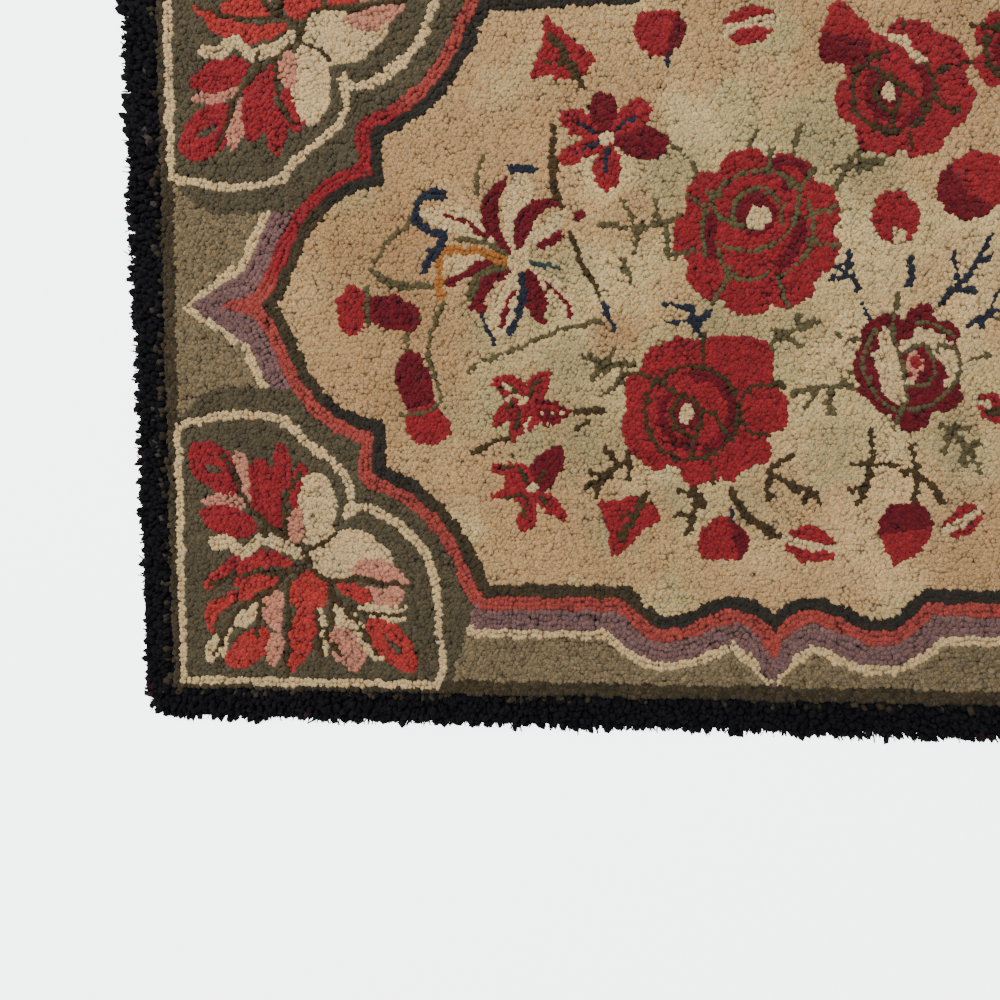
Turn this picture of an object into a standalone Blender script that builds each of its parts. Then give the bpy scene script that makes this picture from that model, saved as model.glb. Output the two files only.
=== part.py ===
"""A hooked rug lying flat: one hooked wool panel, and four strips of black shag sewn round its edge.

Metres, +Z up. The origin is on the floor under the rug's centre, X runs along the rug's length and Y
along its width. The panel is a thin slab, a little uneven on top. Each strip of shag is a lumpy slab
with a row of locks fused to its outer rim, and the strips meet in mitres at the corners.
"""

import math
import random
from collections import namedtuple

import bmesh
import bpy
from mathutils import Matrix, Vector

# Overall size, over the tips of the longest locks
RUG_LENGTH = 1.14
RUG_WIDTH = 0.76

# Shag border
SHAG_WIDTH = 0.022
LOCK_REACH = 0.0055
EDGE_DRIFT = 0.0035
CORNER_ROUND = 0.007
CORNER_SPAN = 0.045
LUMP_HEIGHT = 0.0011
LUMP_SHIFT = 0.0014
SHAG_CELL = 0.012
SHAG_ROWS = 3

# Locks on the border's rim
LONG_SIDE_LOCKS = 80
SHORT_SIDE_LOCKS = 53
LOCK_ROOT_HEIGHT = 0.0052
LOCK_TIP_HEIGHT = 0.0012
LOCK_FLATNESS = 1.9
LOCK_ROOT_DEPTH = 0.005
LOCK_SWING = math.radians(20)
LOCK_CLEAR_OF_CORNER = 0.009
SHORTEST_LOCK = 0.4
LOWEST_LOCK = 0.7

# Hooked panel
PANEL_THICKNESS = 0.008
PANEL_SWELL = 0.0006
PANEL_CELL = 0.028

# Room between pieces that meet, and how close two values are to count as the same
GAP = 0.0003
TOUCHING = 1e-6

# Faces of the shag that meet at more than this angle keep a crease
CREASE = math.radians(50)

PANEL_LENGTH = RUG_LENGTH - 2 * (SHAG_WIDTH + EDGE_DRIFT + LOCK_REACH)
PANEL_WIDTH = RUG_WIDTH - 2 * (SHAG_WIDTH + EDGE_DRIFT + LOCK_REACH)

# The shag's section, from the panel outwards: share of the way across, and height of the pile there
SectionPoint = namedtuple("SectionPoint", "across height")
SHAG_SECTION = (
    SectionPoint(0.0, 0.0085),
    SectionPoint(0.34, 0.0112),
    SectionPoint(0.70, 0.0108),
    SectionPoint(1.0, 0.0066),
)

# The low swells of the panel's top: lengths along X and Y, and share of the whole swell
Swell = namedtuple("Swell", "length width share")
PANEL_SWELLS = (
    Swell(0.70, 0.48, 0.55),
    Swell(0.31, 0.37, 0.30),
    Swell(0.19, 0.23, 0.15),
)

# The waves of an edge: length, share of the whole drift, and where along the edge each one starts
Wave = namedtuple("Wave", "length share start")
EDGE_WAVES = (
    Wave(0.61, 0.55, 0.10),
    Wave(0.23, 0.30, 0.04),
    Wave(0.083, 0.15, 0.00),
)

# The four strips of shag, each seen with its own outer edge in front, and turned to its side of the rug
Side = namedtuple("Side", "name turn along out locks phase seed")
SIDES = (
    Side("shag_front", 0, PANEL_LENGTH, PANEL_WIDTH, LONG_SIDE_LOCKS, 0.00, 11),
    Side("shag_right", 90, PANEL_WIDTH, PANEL_LENGTH, SHORT_SIDE_LOCKS, 0.17, 23),
    Side("shag_back", 180, PANEL_LENGTH, PANEL_WIDTH, LONG_SIDE_LOCKS, 0.31, 37),
    Side("shag_left", 270, PANEL_WIDTH, PANEL_LENGTH, SHORT_SIDE_LOCKS, 0.43, 41),
)


def clear_scene():
    for item in list(bpy.data.objects):
        bpy.data.objects.remove(item, do_unlink=True)


def new_collection(name):
    collection = bpy.data.collections.new(name)
    bpy.context.scene.collection.children.link(collection)
    return collection


def wool(name, colour, roughness):
    material = bpy.data.materials.new(name)
    material.use_nodes = True
    shader = material.node_tree.nodes["Principled BSDF"]
    shader.inputs["Base Color"].default_value = (*colour, 1.0)
    shader.inputs["Roughness"].default_value = roughness
    shader.inputs["Metallic"].default_value = 0.0
    return material


def shaped_block(columns, rows, place):
    """A cube cut into columns and rows, whose points go where place(x, y, z) says, each from 0 to 1."""
    mesh = bmesh.new()
    bmesh.ops.create_cube(mesh, size=1.0)
    for axis, parts in ((0, columns), (1, rows)):
        along = [e for e in mesh.edges if abs((e.verts[1].co - e.verts[0].co)[axis]) > 0.5]
        bmesh.ops.subdivide_edges(mesh, edges=along, cuts=parts - 1, use_grid_fill=True)
    for point in mesh.verts:
        point.co = place(*(value + 0.5 for value in point.co))
    bmesh.ops.recalc_face_normals(mesh, faces=mesh.faces)
    return mesh


def add_object(name, mesh, collection, material=None):
    data = bpy.data.meshes.new(name)
    mesh.to_mesh(data)
    mesh.free()
    if material:
        data.materials.append(material)
    item = bpy.data.objects.new(name, data)
    collection.objects.link(item)
    return item


def swell(x, y):
    """How far the panel's top lies above or below its mean height."""
    return PANEL_SWELL * sum(
        low.share * math.sin(2 * math.pi * x / low.length) * math.cos(2 * math.pi * y / low.width)
        for low in PANEL_SWELLS
    )


def hooked_panel(collection, material):
    def place(u, v, w):
        x = (u - 0.5) * PANEL_LENGTH
        y = (v - 0.5) * PANEL_WIDTH
        return Vector((x, y, (PANEL_THICKNESS + swell(x, y)) * (w > 0.5)))

    columns = round(PANEL_LENGTH / PANEL_CELL)
    rows = round(PANEL_WIDTH / PANEL_CELL)
    return add_object("hooked_panel", shaped_block(columns, rows, place), collection, material)


def smooth_step(share):
    share = min(max(share, 0.0), 1.0)
    return share * share * (3 - 2 * share)


def pile_height(across):
    """Height of the pile at a share of the way across the strip, eased between the section's points."""
    for low, high in zip(SHAG_SECTION, SHAG_SECTION[1:]):
        if across <= high.across + TOUCHING:
            way = (across - low.across) / (high.across - low.across)
            return low.height + (high.height - low.height) * smooth_step(way)
    return SHAG_SECTION[-1].height


def strip_width(side, along):
    """Width of the shag at a place along it: it drifts in long waves and is drawn in at the corners."""
    drift = sum(
        wave.share * math.sin(2 * math.pi * (along + wave.start + side.phase) / wave.length)
        for wave in EDGE_WAVES
    )
    from_corner = side.along / 2 + SHAG_WIDTH - abs(along)
    near_corner = 1 - smooth_step(from_corner / CORNER_SPAN)
    return SHAG_WIDTH + EDGE_DRIFT * drift * (1 - near_corner) - CORNER_ROUND * near_corner


def corner_width():
    """Width of the shag measured at the mitre, the same on every side."""
    return SHAG_WIDTH - CORNER_ROUND


def shag_strip(side, collection, material):
    """One strip, along X with its outer edge at -Y; the mitres are its two slanting ends."""
    chance = random.Random(side.seed)
    columns = round(side.along / SHAG_CELL)

    def place(u, v, w):
        outward = 1 - v
        middle = (2 * u - 1) * (side.along / 2 + outward * corner_width() - GAP)
        width = strip_width(side, middle)
        across = GAP + outward * (width - GAP)
        at_mitre = u < TOUCHING or u > 1 - TOUCHING
        if at_mitre:
            across = GAP + outward * (corner_width() - GAP)
            middle = (2 * u - 1) * (side.along / 2 + across - GAP)
        height = pile_height(outward) if w > 0.5 else 0.0
        inside = TOUCHING < outward < 1 - TOUCHING
        if w > 0.5 and not at_mitre:
            height += chance.uniform(-1, 1) * LUMP_HEIGHT
            if inside:
                middle += chance.uniform(-1, 1) * LUMP_SHIFT
                across += chance.uniform(-1, 1) * LUMP_SHIFT
        return Vector((middle, -across, height))

    strip = add_object(side.name, shaped_block(columns, SHAG_ROWS, place), collection, material)
    strip.data.shade_smooth()
    strip.data.set_sharp_from_angle(angle=CREASE)
    return strip


def lock_of_wool(mesh, place, swing, reach, root_height):
    """A four-sided taper from inside the strip to its tip, lying on the floor all along its underside."""
    depth = LOCK_ROOT_DEPTH + reach
    tapered = bmesh.ops.create_cone(
        mesh,
        cap_ends=True,
        segments=4,
        radius1=root_height / math.sqrt(2),
        radius2=LOCK_TIP_HEIGHT / math.sqrt(2),
        depth=depth,
        matrix=Matrix.Rotation(math.radians(45), 4, "Z"),
    )
    turned = place @ Matrix.Rotation(swing, 4, "Z")
    for point in tapered["verts"]:
        sideways, upright, lengthwise = point.co
        root_share = 0.5 - lengthwise / depth
        height = root_height * root_share + LOCK_TIP_HEIGHT * (1 - root_share)
        outward = lengthwise + depth / 2 - LOCK_ROOT_DEPTH
        point.co = turned @ Vector((sideways * LOCK_FLATNESS, -outward, upright + height / 2))


def rim_locks(side, collection):
    """The locks on one strip's rim, as one helper mesh; the middle one reaches the rug's full size."""
    chance = random.Random(f"locks {side.seed}")
    mesh = bmesh.new()
    run = side.along + 2 * (corner_width() - LOCK_CLEAR_OF_CORNER)
    pitch = run / (side.locks - 1)
    outermost = side.out / 2 + SHAG_WIDTH + EDGE_DRIFT + LOCK_REACH
    longest = side.locks // 2
    for index in range(side.locks):
        along = -run / 2 + index * pitch
        width = strip_width(side, along)
        swing = chance.uniform(-1, 1) * LOCK_SWING
        reach = LOCK_REACH * chance.uniform(SHORTEST_LOCK, 1.0)
        root_height = LOCK_ROOT_HEIGHT * chance.uniform(LOWEST_LOCK, 1.0)
        if index == longest:
            swing = 0.0
            reach = outermost - side.out / 2 - width
        lock_of_wool(mesh, Matrix.Translation((along, -width, 0)), swing, reach, root_height)
    bmesh.ops.recalc_face_normals(mesh, faces=mesh.faces)
    locks = add_object("locks_of_" + side.name, mesh, collection)
    locks.hide_render = True
    locks.display_type = "WIRE"
    return locks


def shag_border(parts, helpers, material, rug):
    for side in SIDES:
        strip = shag_strip(side, parts, material)
        locks = rim_locks(side, helpers)
        join = strip.modifiers.new("locks", "BOOLEAN")
        join.operation = "UNION"
        join.solver = "EXACT"
        join.object = locks
        turn = Matrix.Rotation(math.radians(side.turn), 4, "Z")
        for item in (strip, locks):
            item.parent = rug
            item.rotation_euler = (0, 0, math.radians(side.turn))
            item.location = turn @ Vector((0, -side.out / 2, 0))


def build():
    clear_scene()
    parts = new_collection("hooked_rug")
    helpers = new_collection("helpers")
    hooked_wool = wool("hooked_wool", (0.30, 0.22, 0.13), 0.95)
    black_shag = wool("black_shag", (0.012, 0.012, 0.015), 0.97)
    rug = bpy.data.objects.new("rug", None)
    parts.objects.link(rug)
    panel = hooked_panel(parts, hooked_wool)
    panel.parent = rug
    shag_border(parts, helpers, black_shag, rug)


build()
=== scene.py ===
# %% [markdown]
# A hooked rug is a drawing made with wool. A hook pulls short loops of yarn up through burlap,
# row beside row, until the loops hide the cloth. This lesson makes one the same way: it charts
# the flowers and scrolls in millimetres, places nearly seventy thousand loops on the chart, and
# sews a black shag edging round them.

# %% Load the rug's frame
import math

import bpy
import numpy as np
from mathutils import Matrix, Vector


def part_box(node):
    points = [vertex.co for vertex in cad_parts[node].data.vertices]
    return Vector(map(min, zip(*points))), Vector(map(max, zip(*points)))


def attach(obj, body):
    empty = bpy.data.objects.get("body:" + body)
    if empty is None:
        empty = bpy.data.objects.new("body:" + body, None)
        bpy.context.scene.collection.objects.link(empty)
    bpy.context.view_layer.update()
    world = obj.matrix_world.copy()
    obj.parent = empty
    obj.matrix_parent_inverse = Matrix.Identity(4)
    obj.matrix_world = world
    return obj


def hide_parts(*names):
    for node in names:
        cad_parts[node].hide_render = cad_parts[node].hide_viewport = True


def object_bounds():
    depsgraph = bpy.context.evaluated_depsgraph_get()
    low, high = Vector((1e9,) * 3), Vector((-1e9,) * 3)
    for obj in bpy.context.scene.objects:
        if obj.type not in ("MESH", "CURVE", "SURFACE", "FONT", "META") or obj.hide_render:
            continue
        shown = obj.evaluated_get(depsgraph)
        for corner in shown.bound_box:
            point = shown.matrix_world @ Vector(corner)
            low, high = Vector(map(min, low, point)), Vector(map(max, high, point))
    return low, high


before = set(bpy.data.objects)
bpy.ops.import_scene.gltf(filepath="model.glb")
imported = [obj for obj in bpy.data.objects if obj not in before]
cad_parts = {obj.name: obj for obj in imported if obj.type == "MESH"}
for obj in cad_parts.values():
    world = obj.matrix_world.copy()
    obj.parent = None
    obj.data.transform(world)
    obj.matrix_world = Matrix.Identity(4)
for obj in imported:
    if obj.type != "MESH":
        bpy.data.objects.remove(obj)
cad_low, cad_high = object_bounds()
MM = 0.001
print("rug", [round((b - a) / MM, 1) for a, b in zip(cad_low, cad_high)], "mm")

# %% [markdown]
# The camera stands over the lower left part of the rug and looks almost straight down, so the
# corner, the side and the lower edge show, and the rest runs out of the picture. The lens is
# given by its focal length in image widths, which is easy to carry from one camera to another.

# %% Stand the camera over the rug
CAMERA_PLACE = (-0.1745, -0.1196, 0.794)
CAMERA_TILT = (-4.0, 4.6, 0.0)
FOCAL_WIDTHS = 0.9
SENSOR_WIDTH = 36.0

camera_data = bpy.data.cameras.new("rug_camera")
camera_data.sensor_width = SENSOR_WIDTH
camera_data.lens = FOCAL_WIDTHS * SENSOR_WIDTH
camera = bpy.data.objects.new("rug_camera", camera_data)
camera.location = CAMERA_PLACE
camera.rotation_euler = [math.radians(angle) for angle in CAMERA_TILT]
bpy.context.scene.collection.objects.link(camera)
bpy.context.scene.camera = camera
print("camera lens", camera_data.lens, "mm")

# %% [markdown]
# The chart is a sheet of squares, one millimetre each, and each square holds the number of a
# yarn. Old rug hookers drew such a chart on the burlap itself. Real sizes keep the motifs in
# proportion with the loops, which stand three and a half millimetres apart along a line.

# %% Rule the chart on the panel
LOOP = 3.5
ROW = 4.0
panel_low, panel_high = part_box("hooked_panel")
HALF_LENGTH = (panel_high[0] - panel_low[0]) / 2 / MM
HALF_WIDTH = (panel_high[1] - panel_low[1]) / 2 / MM
columns, rows = int(2 * HALF_LENGTH), int(2 * HALF_WIDTH)
square_x = np.arange(columns) + 0.5 - HALF_LENGTH
square_y = np.arange(rows) + 0.5 - HALF_WIDTH

# Yarn colours as they look, red green blue, each from 0 to 255
YARNS = {
    "field": (176, 141, 97),
    "border": (115, 99, 72),
    "dark olive": (79, 70, 51),
    "rim brown": (62, 52, 35),
    "charcoal": (46, 41, 34),
    "brick": (149, 63, 55),
    "lavender": (113, 83, 79),
    "cream": (196, 167, 120),
    "red": (134, 35, 39),
    "scarlet": (157, 50, 45),
    "crimson": (98, 22, 30),
    "pink": (180, 120, 96),
    "navy": (35, 39, 50),
    "teal": (50, 67, 66),
    "orange": (158, 98, 44),
    "stem": (86, 77, 50),
    "vein": (66, 51, 30),
}
YARN_NUMBER = {name: number for number, name in enumerate(YARNS)}
chart = np.full((rows, columns), YARN_NUMBER["border"], dtype=np.int16)
print("chart", columns, "by", rows, "squares,", len(YARNS), "yarns")

# %% [markdown]
# A hooker draws with few points and lets the hand round the line. Here a curve runs smoothly
# through the points of a table, so the tables stay short. The curve needs no Blender object,
# because the chart is only numbers until the loops are made.

# %% Round a line through its points
def heading(turn):
    """A step of length one in a direction given in degrees."""
    return np.array([math.cos(math.radians(turn)), math.sin(math.radians(turn))])


def sideways_of(points):
    """The way a line of points runs at each point, and the way to its left."""
    way = np.gradient(points, axis=0)
    way /= np.maximum(np.hypot(way[:, 0], way[:, 1]), 1e-9)[:, None]
    return way, np.stack([-way[:, 1], way[:, 0]], axis=1)


def rounded(points, closed=False, step=2.5):
    """A smooth line through the points, with a point about every step."""
    points = np.array(points, dtype=float)
    if len(points) < 3 and not closed:
        count = max(2, int(np.hypot(*(points[-1] - points[0])) / step) + 1)
        return points[0] + np.linspace(0, 1, count)[:, None] * (points[-1] - points[0])
    if closed:
        knots = np.vstack([points[-1:], points, points[:2]])
    else:
        knots = np.vstack([2 * points[:1] - points[1:2], points, 2 * points[-1:] - points[-2:-1]])
    pieces = []
    for before, start, end, after in zip(knots, knots[1:], knots[2:], knots[3:]):
        count = max(2, int(np.hypot(*(end - start)) / step) + 1)
        t = np.linspace(0, 1, count, endpoint=False)[:, None]
        bend = 2 * before - 5 * start + 4 * end - after
        twist = 3 * start - before - 3 * end + after
        pieces.append(start + 0.5 * t * (end - before + t * (bend + t * twist)))
    return np.vstack(pieces if closed else pieces + [points[-1:]])


print("three points become", len(rounded([(0, 0), (30, 0), (30, 30)])), "on a rounded line")

# %% [markdown]
# Two questions are enough to colour the chart: whether a square is inside an outline, and how
# far it is from a line. Both are asked of many squares at once, and only of those near a shape.

# %% Ask where a square is
def window(points, margin):
    """The rows and columns of squares that a shape can reach."""
    corner = np.array([HALF_LENGTH, HALF_WIDTH])
    low = np.floor(points.min(axis=0) - margin + corner).astype(int)
    high = np.ceil(points.max(axis=0) + margin + corner).astype(int)
    low, high = np.clip(low, 0, (columns, rows)), np.clip(high, 0, (columns, rows))
    return slice(low[1], high[1]), slice(low[0], high[0])


def inside(outline, x, y):
    """True where a point is inside the outline."""
    result = np.zeros(np.broadcast(x, y).shape, dtype=bool)
    for (x1, y1), (x2, y2) in zip(outline, np.roll(outline, -1, axis=0)):
        if y1 != y2:
            result ^= ((y1 > y) != (y2 > y)) & (x < (x2 - x1) * (y - y1) / (y2 - y1) + x1)
    return result


def distance(points, x, y):
    """How far each point is from a line of points."""
    nearest = np.full(np.broadcast(x, y).shape, 1e9)
    for start, end in zip(points, points[1:]):
        along = end - start
        t = ((x - start[0]) * along[0] + (y - start[1]) * along[1]) / max(along @ along, 1e-9)
        t = np.clip(t, 0, 1)
        gap = np.hypot(x - start[0] - t * along[0], y - start[1] - t * along[1])
        nearest = np.minimum(nearest, gap)
    return nearest


print("a place beside a line is", distance(np.array([(0, 0), (9, 0)]), 5, 3), "mm from it")

# %% [markdown]
# A shape is a yarn, a line of points and a width. Width zero means a filled outline. Leaves and
# petals are blades: a spine with a width that swells and closes again, which is how a hooker
# draws them, with one stroke for the middle and one for each side.

# %% Make the shapes that the motifs are drawn with
def bar(yarn, width, points):
    return [(yarn, rounded(points), width)]


def filled(yarn, outline):
    return [(yarn, np.array(outline, dtype=float), 0)]


def bars(table):
    """Each row of the table has a yarn, a width and one line of points or more."""
    return [shape for yarn, width, *lines in table for line in lines
            for shape in bar(yarn, width, line)]


def blob(yarn, x, y, width, height, turn=0):
    angle = np.linspace(0, 2 * np.pi, max(12, int(width + height) // 2), endpoint=False)
    across, up = np.cos(angle) * width / 2, np.sin(angle) * height / 2
    cos, sin = heading(turn)
    return [(yarn, np.stack([x + across * cos - up * sin, y + across * sin + up * cos], axis=1), 0)]


def blade(yarn, width, points, blunt=0.6, widest=0.5):
    """A leaf or petal along a spine, with its widest place at that part of its length."""
    spine = rounded(points, step=3.0)
    side = sideways_of(spine)[1]
    t = np.linspace(0, 1, len(spine)) ** (math.log(0.5) / math.log(widest))
    half = (width / 2 * np.sin(np.pi * t) ** blunt)[:, None]
    return [(yarn, np.vstack([spine + half * side, (spine - half * side)[::-1]]), 0)]


def blades(table, blunt=0.6):
    """Each row of the table has a yarn, a width and one spine or more."""
    return [shape for yarn, width, *spines in table for spine in spines
            for shape in blade(yarn, width, spine, blunt)]


def arc(yarn, width, x, y, radius, start, end):
    angle = np.radians(np.linspace(start, end, max(4, int(abs(end - start) * radius / 120))))
    points = np.stack([x + radius * np.cos(angle), y + radius * np.sin(angle)], axis=1)
    return [(yarn, points, width)]


def moved(shapes, x=0.0, y=0.0, turn=0.0, flip_x=False, flip_y=False):
    """The same shapes turned over, turned round and put somewhere else."""
    cos, sin = heading(turn)
    spin = np.array([[cos, sin], [-sin, cos]])
    scale = np.array([-1.0 if flip_x else 1.0, -1.0 if flip_y else 1.0])
    return [(yarn, (points * scale) @ spin + (x, y), width) for yarn, points, width in shapes]


print("a petal is drawn with", len(blade("red", 20, [(0, 0), (40, 0)])[0][1]), "points")

# %% [markdown]
# Drawing a shape does two things. It colours the squares, and it pins loops where a hooker
# would set them first: along a line, and just inside the edge of a filled shape. Pinned loops
# give the shapes clean edges, and the ground is filled in between them later.

# %% Draw shapes on the chart and pin loops along them
pins = []


def pin_row(points, offset, yarn, pitch):
    """Loops at an even pitch along a line, moved sideways by the offset."""
    way, side = sideways_of(points)
    row = points + offset * side
    length = np.concatenate([[0], np.cumsum(np.hypot(*np.diff(row, axis=0).T))])
    count = max(1, round(length[-1] / pitch))
    place = (np.arange(count) + 0.5) * length[-1] / count
    x, y = np.interp(place, length, row[:, 0]), np.interp(place, length, row[:, 1])
    facing = np.interp(place, length, np.unwrap(np.arctan2(way[:, 1], way[:, 0])))
    pins.extend(zip(x, y, facing, [YARN_NUMBER[yarn]] * count))


def draw(shapes):
    for yarn, points, width in shapes:
        spots = window(points, width / 2)
        x, y = square_x[spots[1]][None, :], square_y[spots[0]][:, None]
        if width:
            covered = distance(points, x, y) < width / 2
            count = max(1, round(width / ROW))
            for row in range(count):
                pin_row(points, (row - (count - 1) / 2) * width / count, yarn, LOOP)
        else:
            covered = inside(points, x, y)
            area = np.roll(points[:, 0], -1) @ points[:, 1] - points[:, 0] @ np.roll(points[:, 1], -1)
            inward = LOOP / 2 * (1 if area < 0 else -1)
            pin_row(np.vstack([points, points[:1]]), inward, yarn, LOOP)
        chart[spots][covered] = YARN_NUMBER[yarn]


print(len(pins), "pinned loops before the first shape")

# %% [markdown]
# The scroll border is the same in each quarter of the rug, so only one quarter is charted, from
# the notch in the middle of the side to the point in the middle of the front. The other bands
# are parallel to it: brick, lavender and cream, each a few rows wide. The folded copy of the
# chart lets one quarter's distances serve all four.

# %% Chart the scroll border
PATTERN_MIDDLE_Y = -4.0
SCROLL_RUNS = [
    [(-442, 0), (-429, -21), (-411, -60), (-392, -85), (-366, -101), (-344, -107)],
    [(-344, -107), (-346, -146)],
    [(-346, -146), (-320, -157), (-291, -180), (-270, -210), (-256, -240), (-250, -251)],
    [(-250, -251), (-126, -251)],
    [(-126, -251), (-112, -266), (-96, -277), (-77, -275), (-54, -264), (-30, -259),
     (-14, -264), (0, -276)],
]
# yarn, inner and outer edge of a band, measured outwards from the scroll line
BANDS = [("cream", 35, 43), ("lavender", 17.5, 35), ("brick", 5.5, 17.5), ("charcoal", -5.5, 5.5)]
# Where a band runs out to a point: yarn, middle, base, half width of the base, tip
SIDE_TIPS = [("cream", -474, 35, -522), ("lavender", -466, 30, -513), ("brick", -457, 9, -487)]
FRONT_TIPS = [("cream", -304, 24, -340), ("lavender", -300, 20, -332), ("brick", -290, 10, -311)]
QUARTERS = [(False, False), (True, False), (False, True), (True, True)]

scroll = np.vstack([rounded(run, step=5.0) for run in SCROLL_RUNS])
folded_x = -np.abs(square_x)[None, :]
folded_y = -np.abs(square_y - PATTERN_MIDDLE_Y)[:, None]
from_scroll = distance(scroll, folded_x, folded_y)
in_field = inside(np.vstack([scroll, [[0, 0]]]), folded_x, folded_y)
from_scroll[in_field] *= -1


def all_quarters(shapes, upper_rise=0.0):
    for flip_x, flip_y in QUARTERS:
        draw(moved(shapes, y=PATTERN_MIDDLE_Y + flip_y * upper_rise, flip_x=flip_x, flip_y=flip_y))


def tip(yarn, base, half, point, sideways):
    outline = [(base, half), (point, 0), (base, -half)]
    return filled(yarn, outline if sideways else [(y, x) for x, y in outline])


print("the scroll line has", len(scroll), "points")

# %% [markdown]
# A rim of brown and olive rows lies along the edge, and a block of dark olive fills each corner
# with a leaf spray inside a cream outline. They are drawn between the outer and the inner bands,
# because the brick band runs over the block's edge.

# %% Draw the rim, the bands and the corner blocks
RIM_WIDTH = 12.5
BLOCK_EDGE = [(-550, -104), (-529, -103), (-509, -80), (-490, -72), (-434, -73), (-300, -73),
              (-255, -240), (-263, -272), (-280, -327), (-294, -360), (-550, -360)]
CREAM_TOP = [(-529, -106), (-505, -100), (-470, -96), (-434, -100), (-412, -120), (-382, -143),
             (-372, -163), (-374, -185)]
CREAM_SIDE = [(-374, -185), (-362, -178), (-339, -186), (-311, -209), (-296, -240), (-292, -290),
              (-288, -322), (-296, -338)]
CREAM_CORNER = [(-296, -338), (-410, -338), (-529, -338), (-529, -220), (-529, -106)]
CREAM_LINE = 8.0
BLOCK_RISE = 8.0
BLOCK_FOOT = -330

for yarn, inner, outer in BANDS[:2]:
    chart[(from_scroll > inner) & (from_scroll <= outer)] = YARN_NUMBER[yarn]
for yarn, base, half, point in SIDE_TIPS[:2]:
    all_quarters(tip(yarn, base, half, point, True))
for yarn, base, half, point in FRONT_TIPS[:2]:
    all_quarters(tip(yarn, base, half, point, False))
all_quarters(filled("dark olive", BLOCK_EDGE), BLOCK_RISE)
rim = np.minimum(HALF_LENGTH - np.abs(square_x)[None, :], HALF_WIDTH - np.abs(square_y)[:, None])
chart[rim < RIM_WIDTH] = YARN_NUMBER["rim brown"]
for stretch in (CREAM_TOP, CREAM_SIDE):
    all_quarters(bar("cream", CREAM_LINE, stretch), BLOCK_RISE)
for start, end in zip(CREAM_CORNER, CREAM_CORNER[1:]):
    rise = BLOCK_RISE if end[1] > BLOCK_FOOT else 0.0
    all_quarters(bar("cream", CREAM_LINE, [start, end]), rise)
for yarn, inner, outer in BANDS[2:]:
    chart[(from_scroll > inner) & (from_scroll <= outer)] = YARN_NUMBER[yarn]
all_quarters(tip(*SIDE_TIPS[2], True) + tip(*FRONT_TIPS[2], False))
chart[from_scroll <= BANDS[3][1]] = YARN_NUMBER["field"]
print("field covers", round(float((from_scroll <= 0).mean()), 2), "of the panel")

# %% [markdown]
# The bands are hooked as rows side by side, so their loops line up across the band like ribs.
# Each row is the scroll line moved outwards. Where the moved line folds over itself at a notch,
# its loops are left out, and the loose filling closes the place later.

# %% Pin the rows of the bands
BAND_PITCH = LOOP * 0.95


def band_rows():
    for yarn, inner, outer in BANDS:
        count = round((outer - inner) / ROW)
        for row in range(count):
            yield yarn, inner + (row + 0.5) * (outer - inner) / count


for yarn, offset in band_rows():
    first = len(pins)
    for run in SCROLL_RUNS:
        line = rounded(run, step=5.0)
        for flip_x, flip_y in QUARTERS:
            scale = np.array([-1 if flip_x else 1, -1 if flip_y else 1])
            side = offset * (1 if flip_x == flip_y else -1)
            pin_row(line * scale + (0, PATTERN_MIDDLE_Y), -side, yarn, BAND_PITCH)
print(len(pins), "pinned loops in the border so far")

# %% [markdown]
# The leaf spray of a corner block is charted from its joint, the point where all its veins meet.
# It is a patchwork of leaves in red, pink and cream, with brown veins between them. Each line of
# the table is a blade or an oval, in the order in which they overlap.

# %% List the leaves of the spray
SPRAY_JOINT = (-412, -220)
# yarn, width, and the spines drawn with them
SPRAY_BLADES = [
    ("red", 38, [(-60, 56), (-82, 76), (-106, 98)]),
    ("crimson", 9, [(-61, 62), (-69, 78), (-76, 92)]),
    ("pink", 16, [(-46, 44), (-53, 66), (-64, 94)]),
    ("red", 27, [(-28, 26), (-37, 58), (-45, 86)]),
    ("red", 17, [(-21, 56), (-22, 100)]),
    ("red", 22, [(-18, 20), (-32, 36), (-50, 50)]),
    ("red", 24, [(-10, 38), (-4, 60), (-4, 80)]),
    ("cream", 36, [(2, 6), (10, 38), (8, 74)]),
    ("pink", 16, [(-6, 10), (-11, 26), (-6, 42)]),
    ("pink", 11, [(-96, 47), (-76, 48), (-52, 42)]),
    ("red", 28, [(-44, 22), (-70, 28), (-98, 36)]),
    ("cream", 40, [(2, -10), (36, 3), (78, -10)]),
    ("cream", 20, [(6, -10), (24, -16), (44, -14)]),
    ("pink", 18, [(40, -16), (64, -13), (92, -26)], [(52, -31), (70, -39), (90, -34)]),
    ("cream", 7, [(44, -47), (66, -50), (91, -48)], [(54, -58), (72, -61), (91, -57)]),
    ("scarlet", 14, [(26, -29), (43, -34), (60, -43)]),
    ("scarlet", 17, [(-10, -10), (-40, -5), (-66, -12), (-96, -32)],
     [(-26, -21), (-48, -28), (-70, -27)]),
    ("scarlet", 12, [(-48, -37), (-74, -43), (-90, -56), (-90, -74)]),
    ("cream", 16, [(-44, -44), (-55, -57), (-68, -67)]),
    ("cream", 8, [(-71, -66), (-78, -82), (-80, -100)]),
    ("cream", 15, [(-84, -76), (-94, -102)]),
    ("scarlet", 28, [(-38, -68), (-54, -86), (-76, -104)]),
    ("pink", 20, [(-28, -30), (-32, -50), (-27, -70)]),
    ("pink", 17, [(-28, -70), (-30, -84), (-35, -104)]),
    ("scarlet", 36, [(1, -16), (2, -36), (0, -56)]),
    ("scarlet", 24, [(2, -40), (-4, -70), (-18, -110)]),
    ("cream", 9, [(12, -48), (15, -96)]),
    ("cream", 21, [(22, -42), (40, -66), (70, -97)]),
    ("pink", 28, [(24, -68), (36, -86), (48, -106)]),
    ("scarlet", 30, [(55, -60), (76, -80), (98, -106)]),
]
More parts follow.
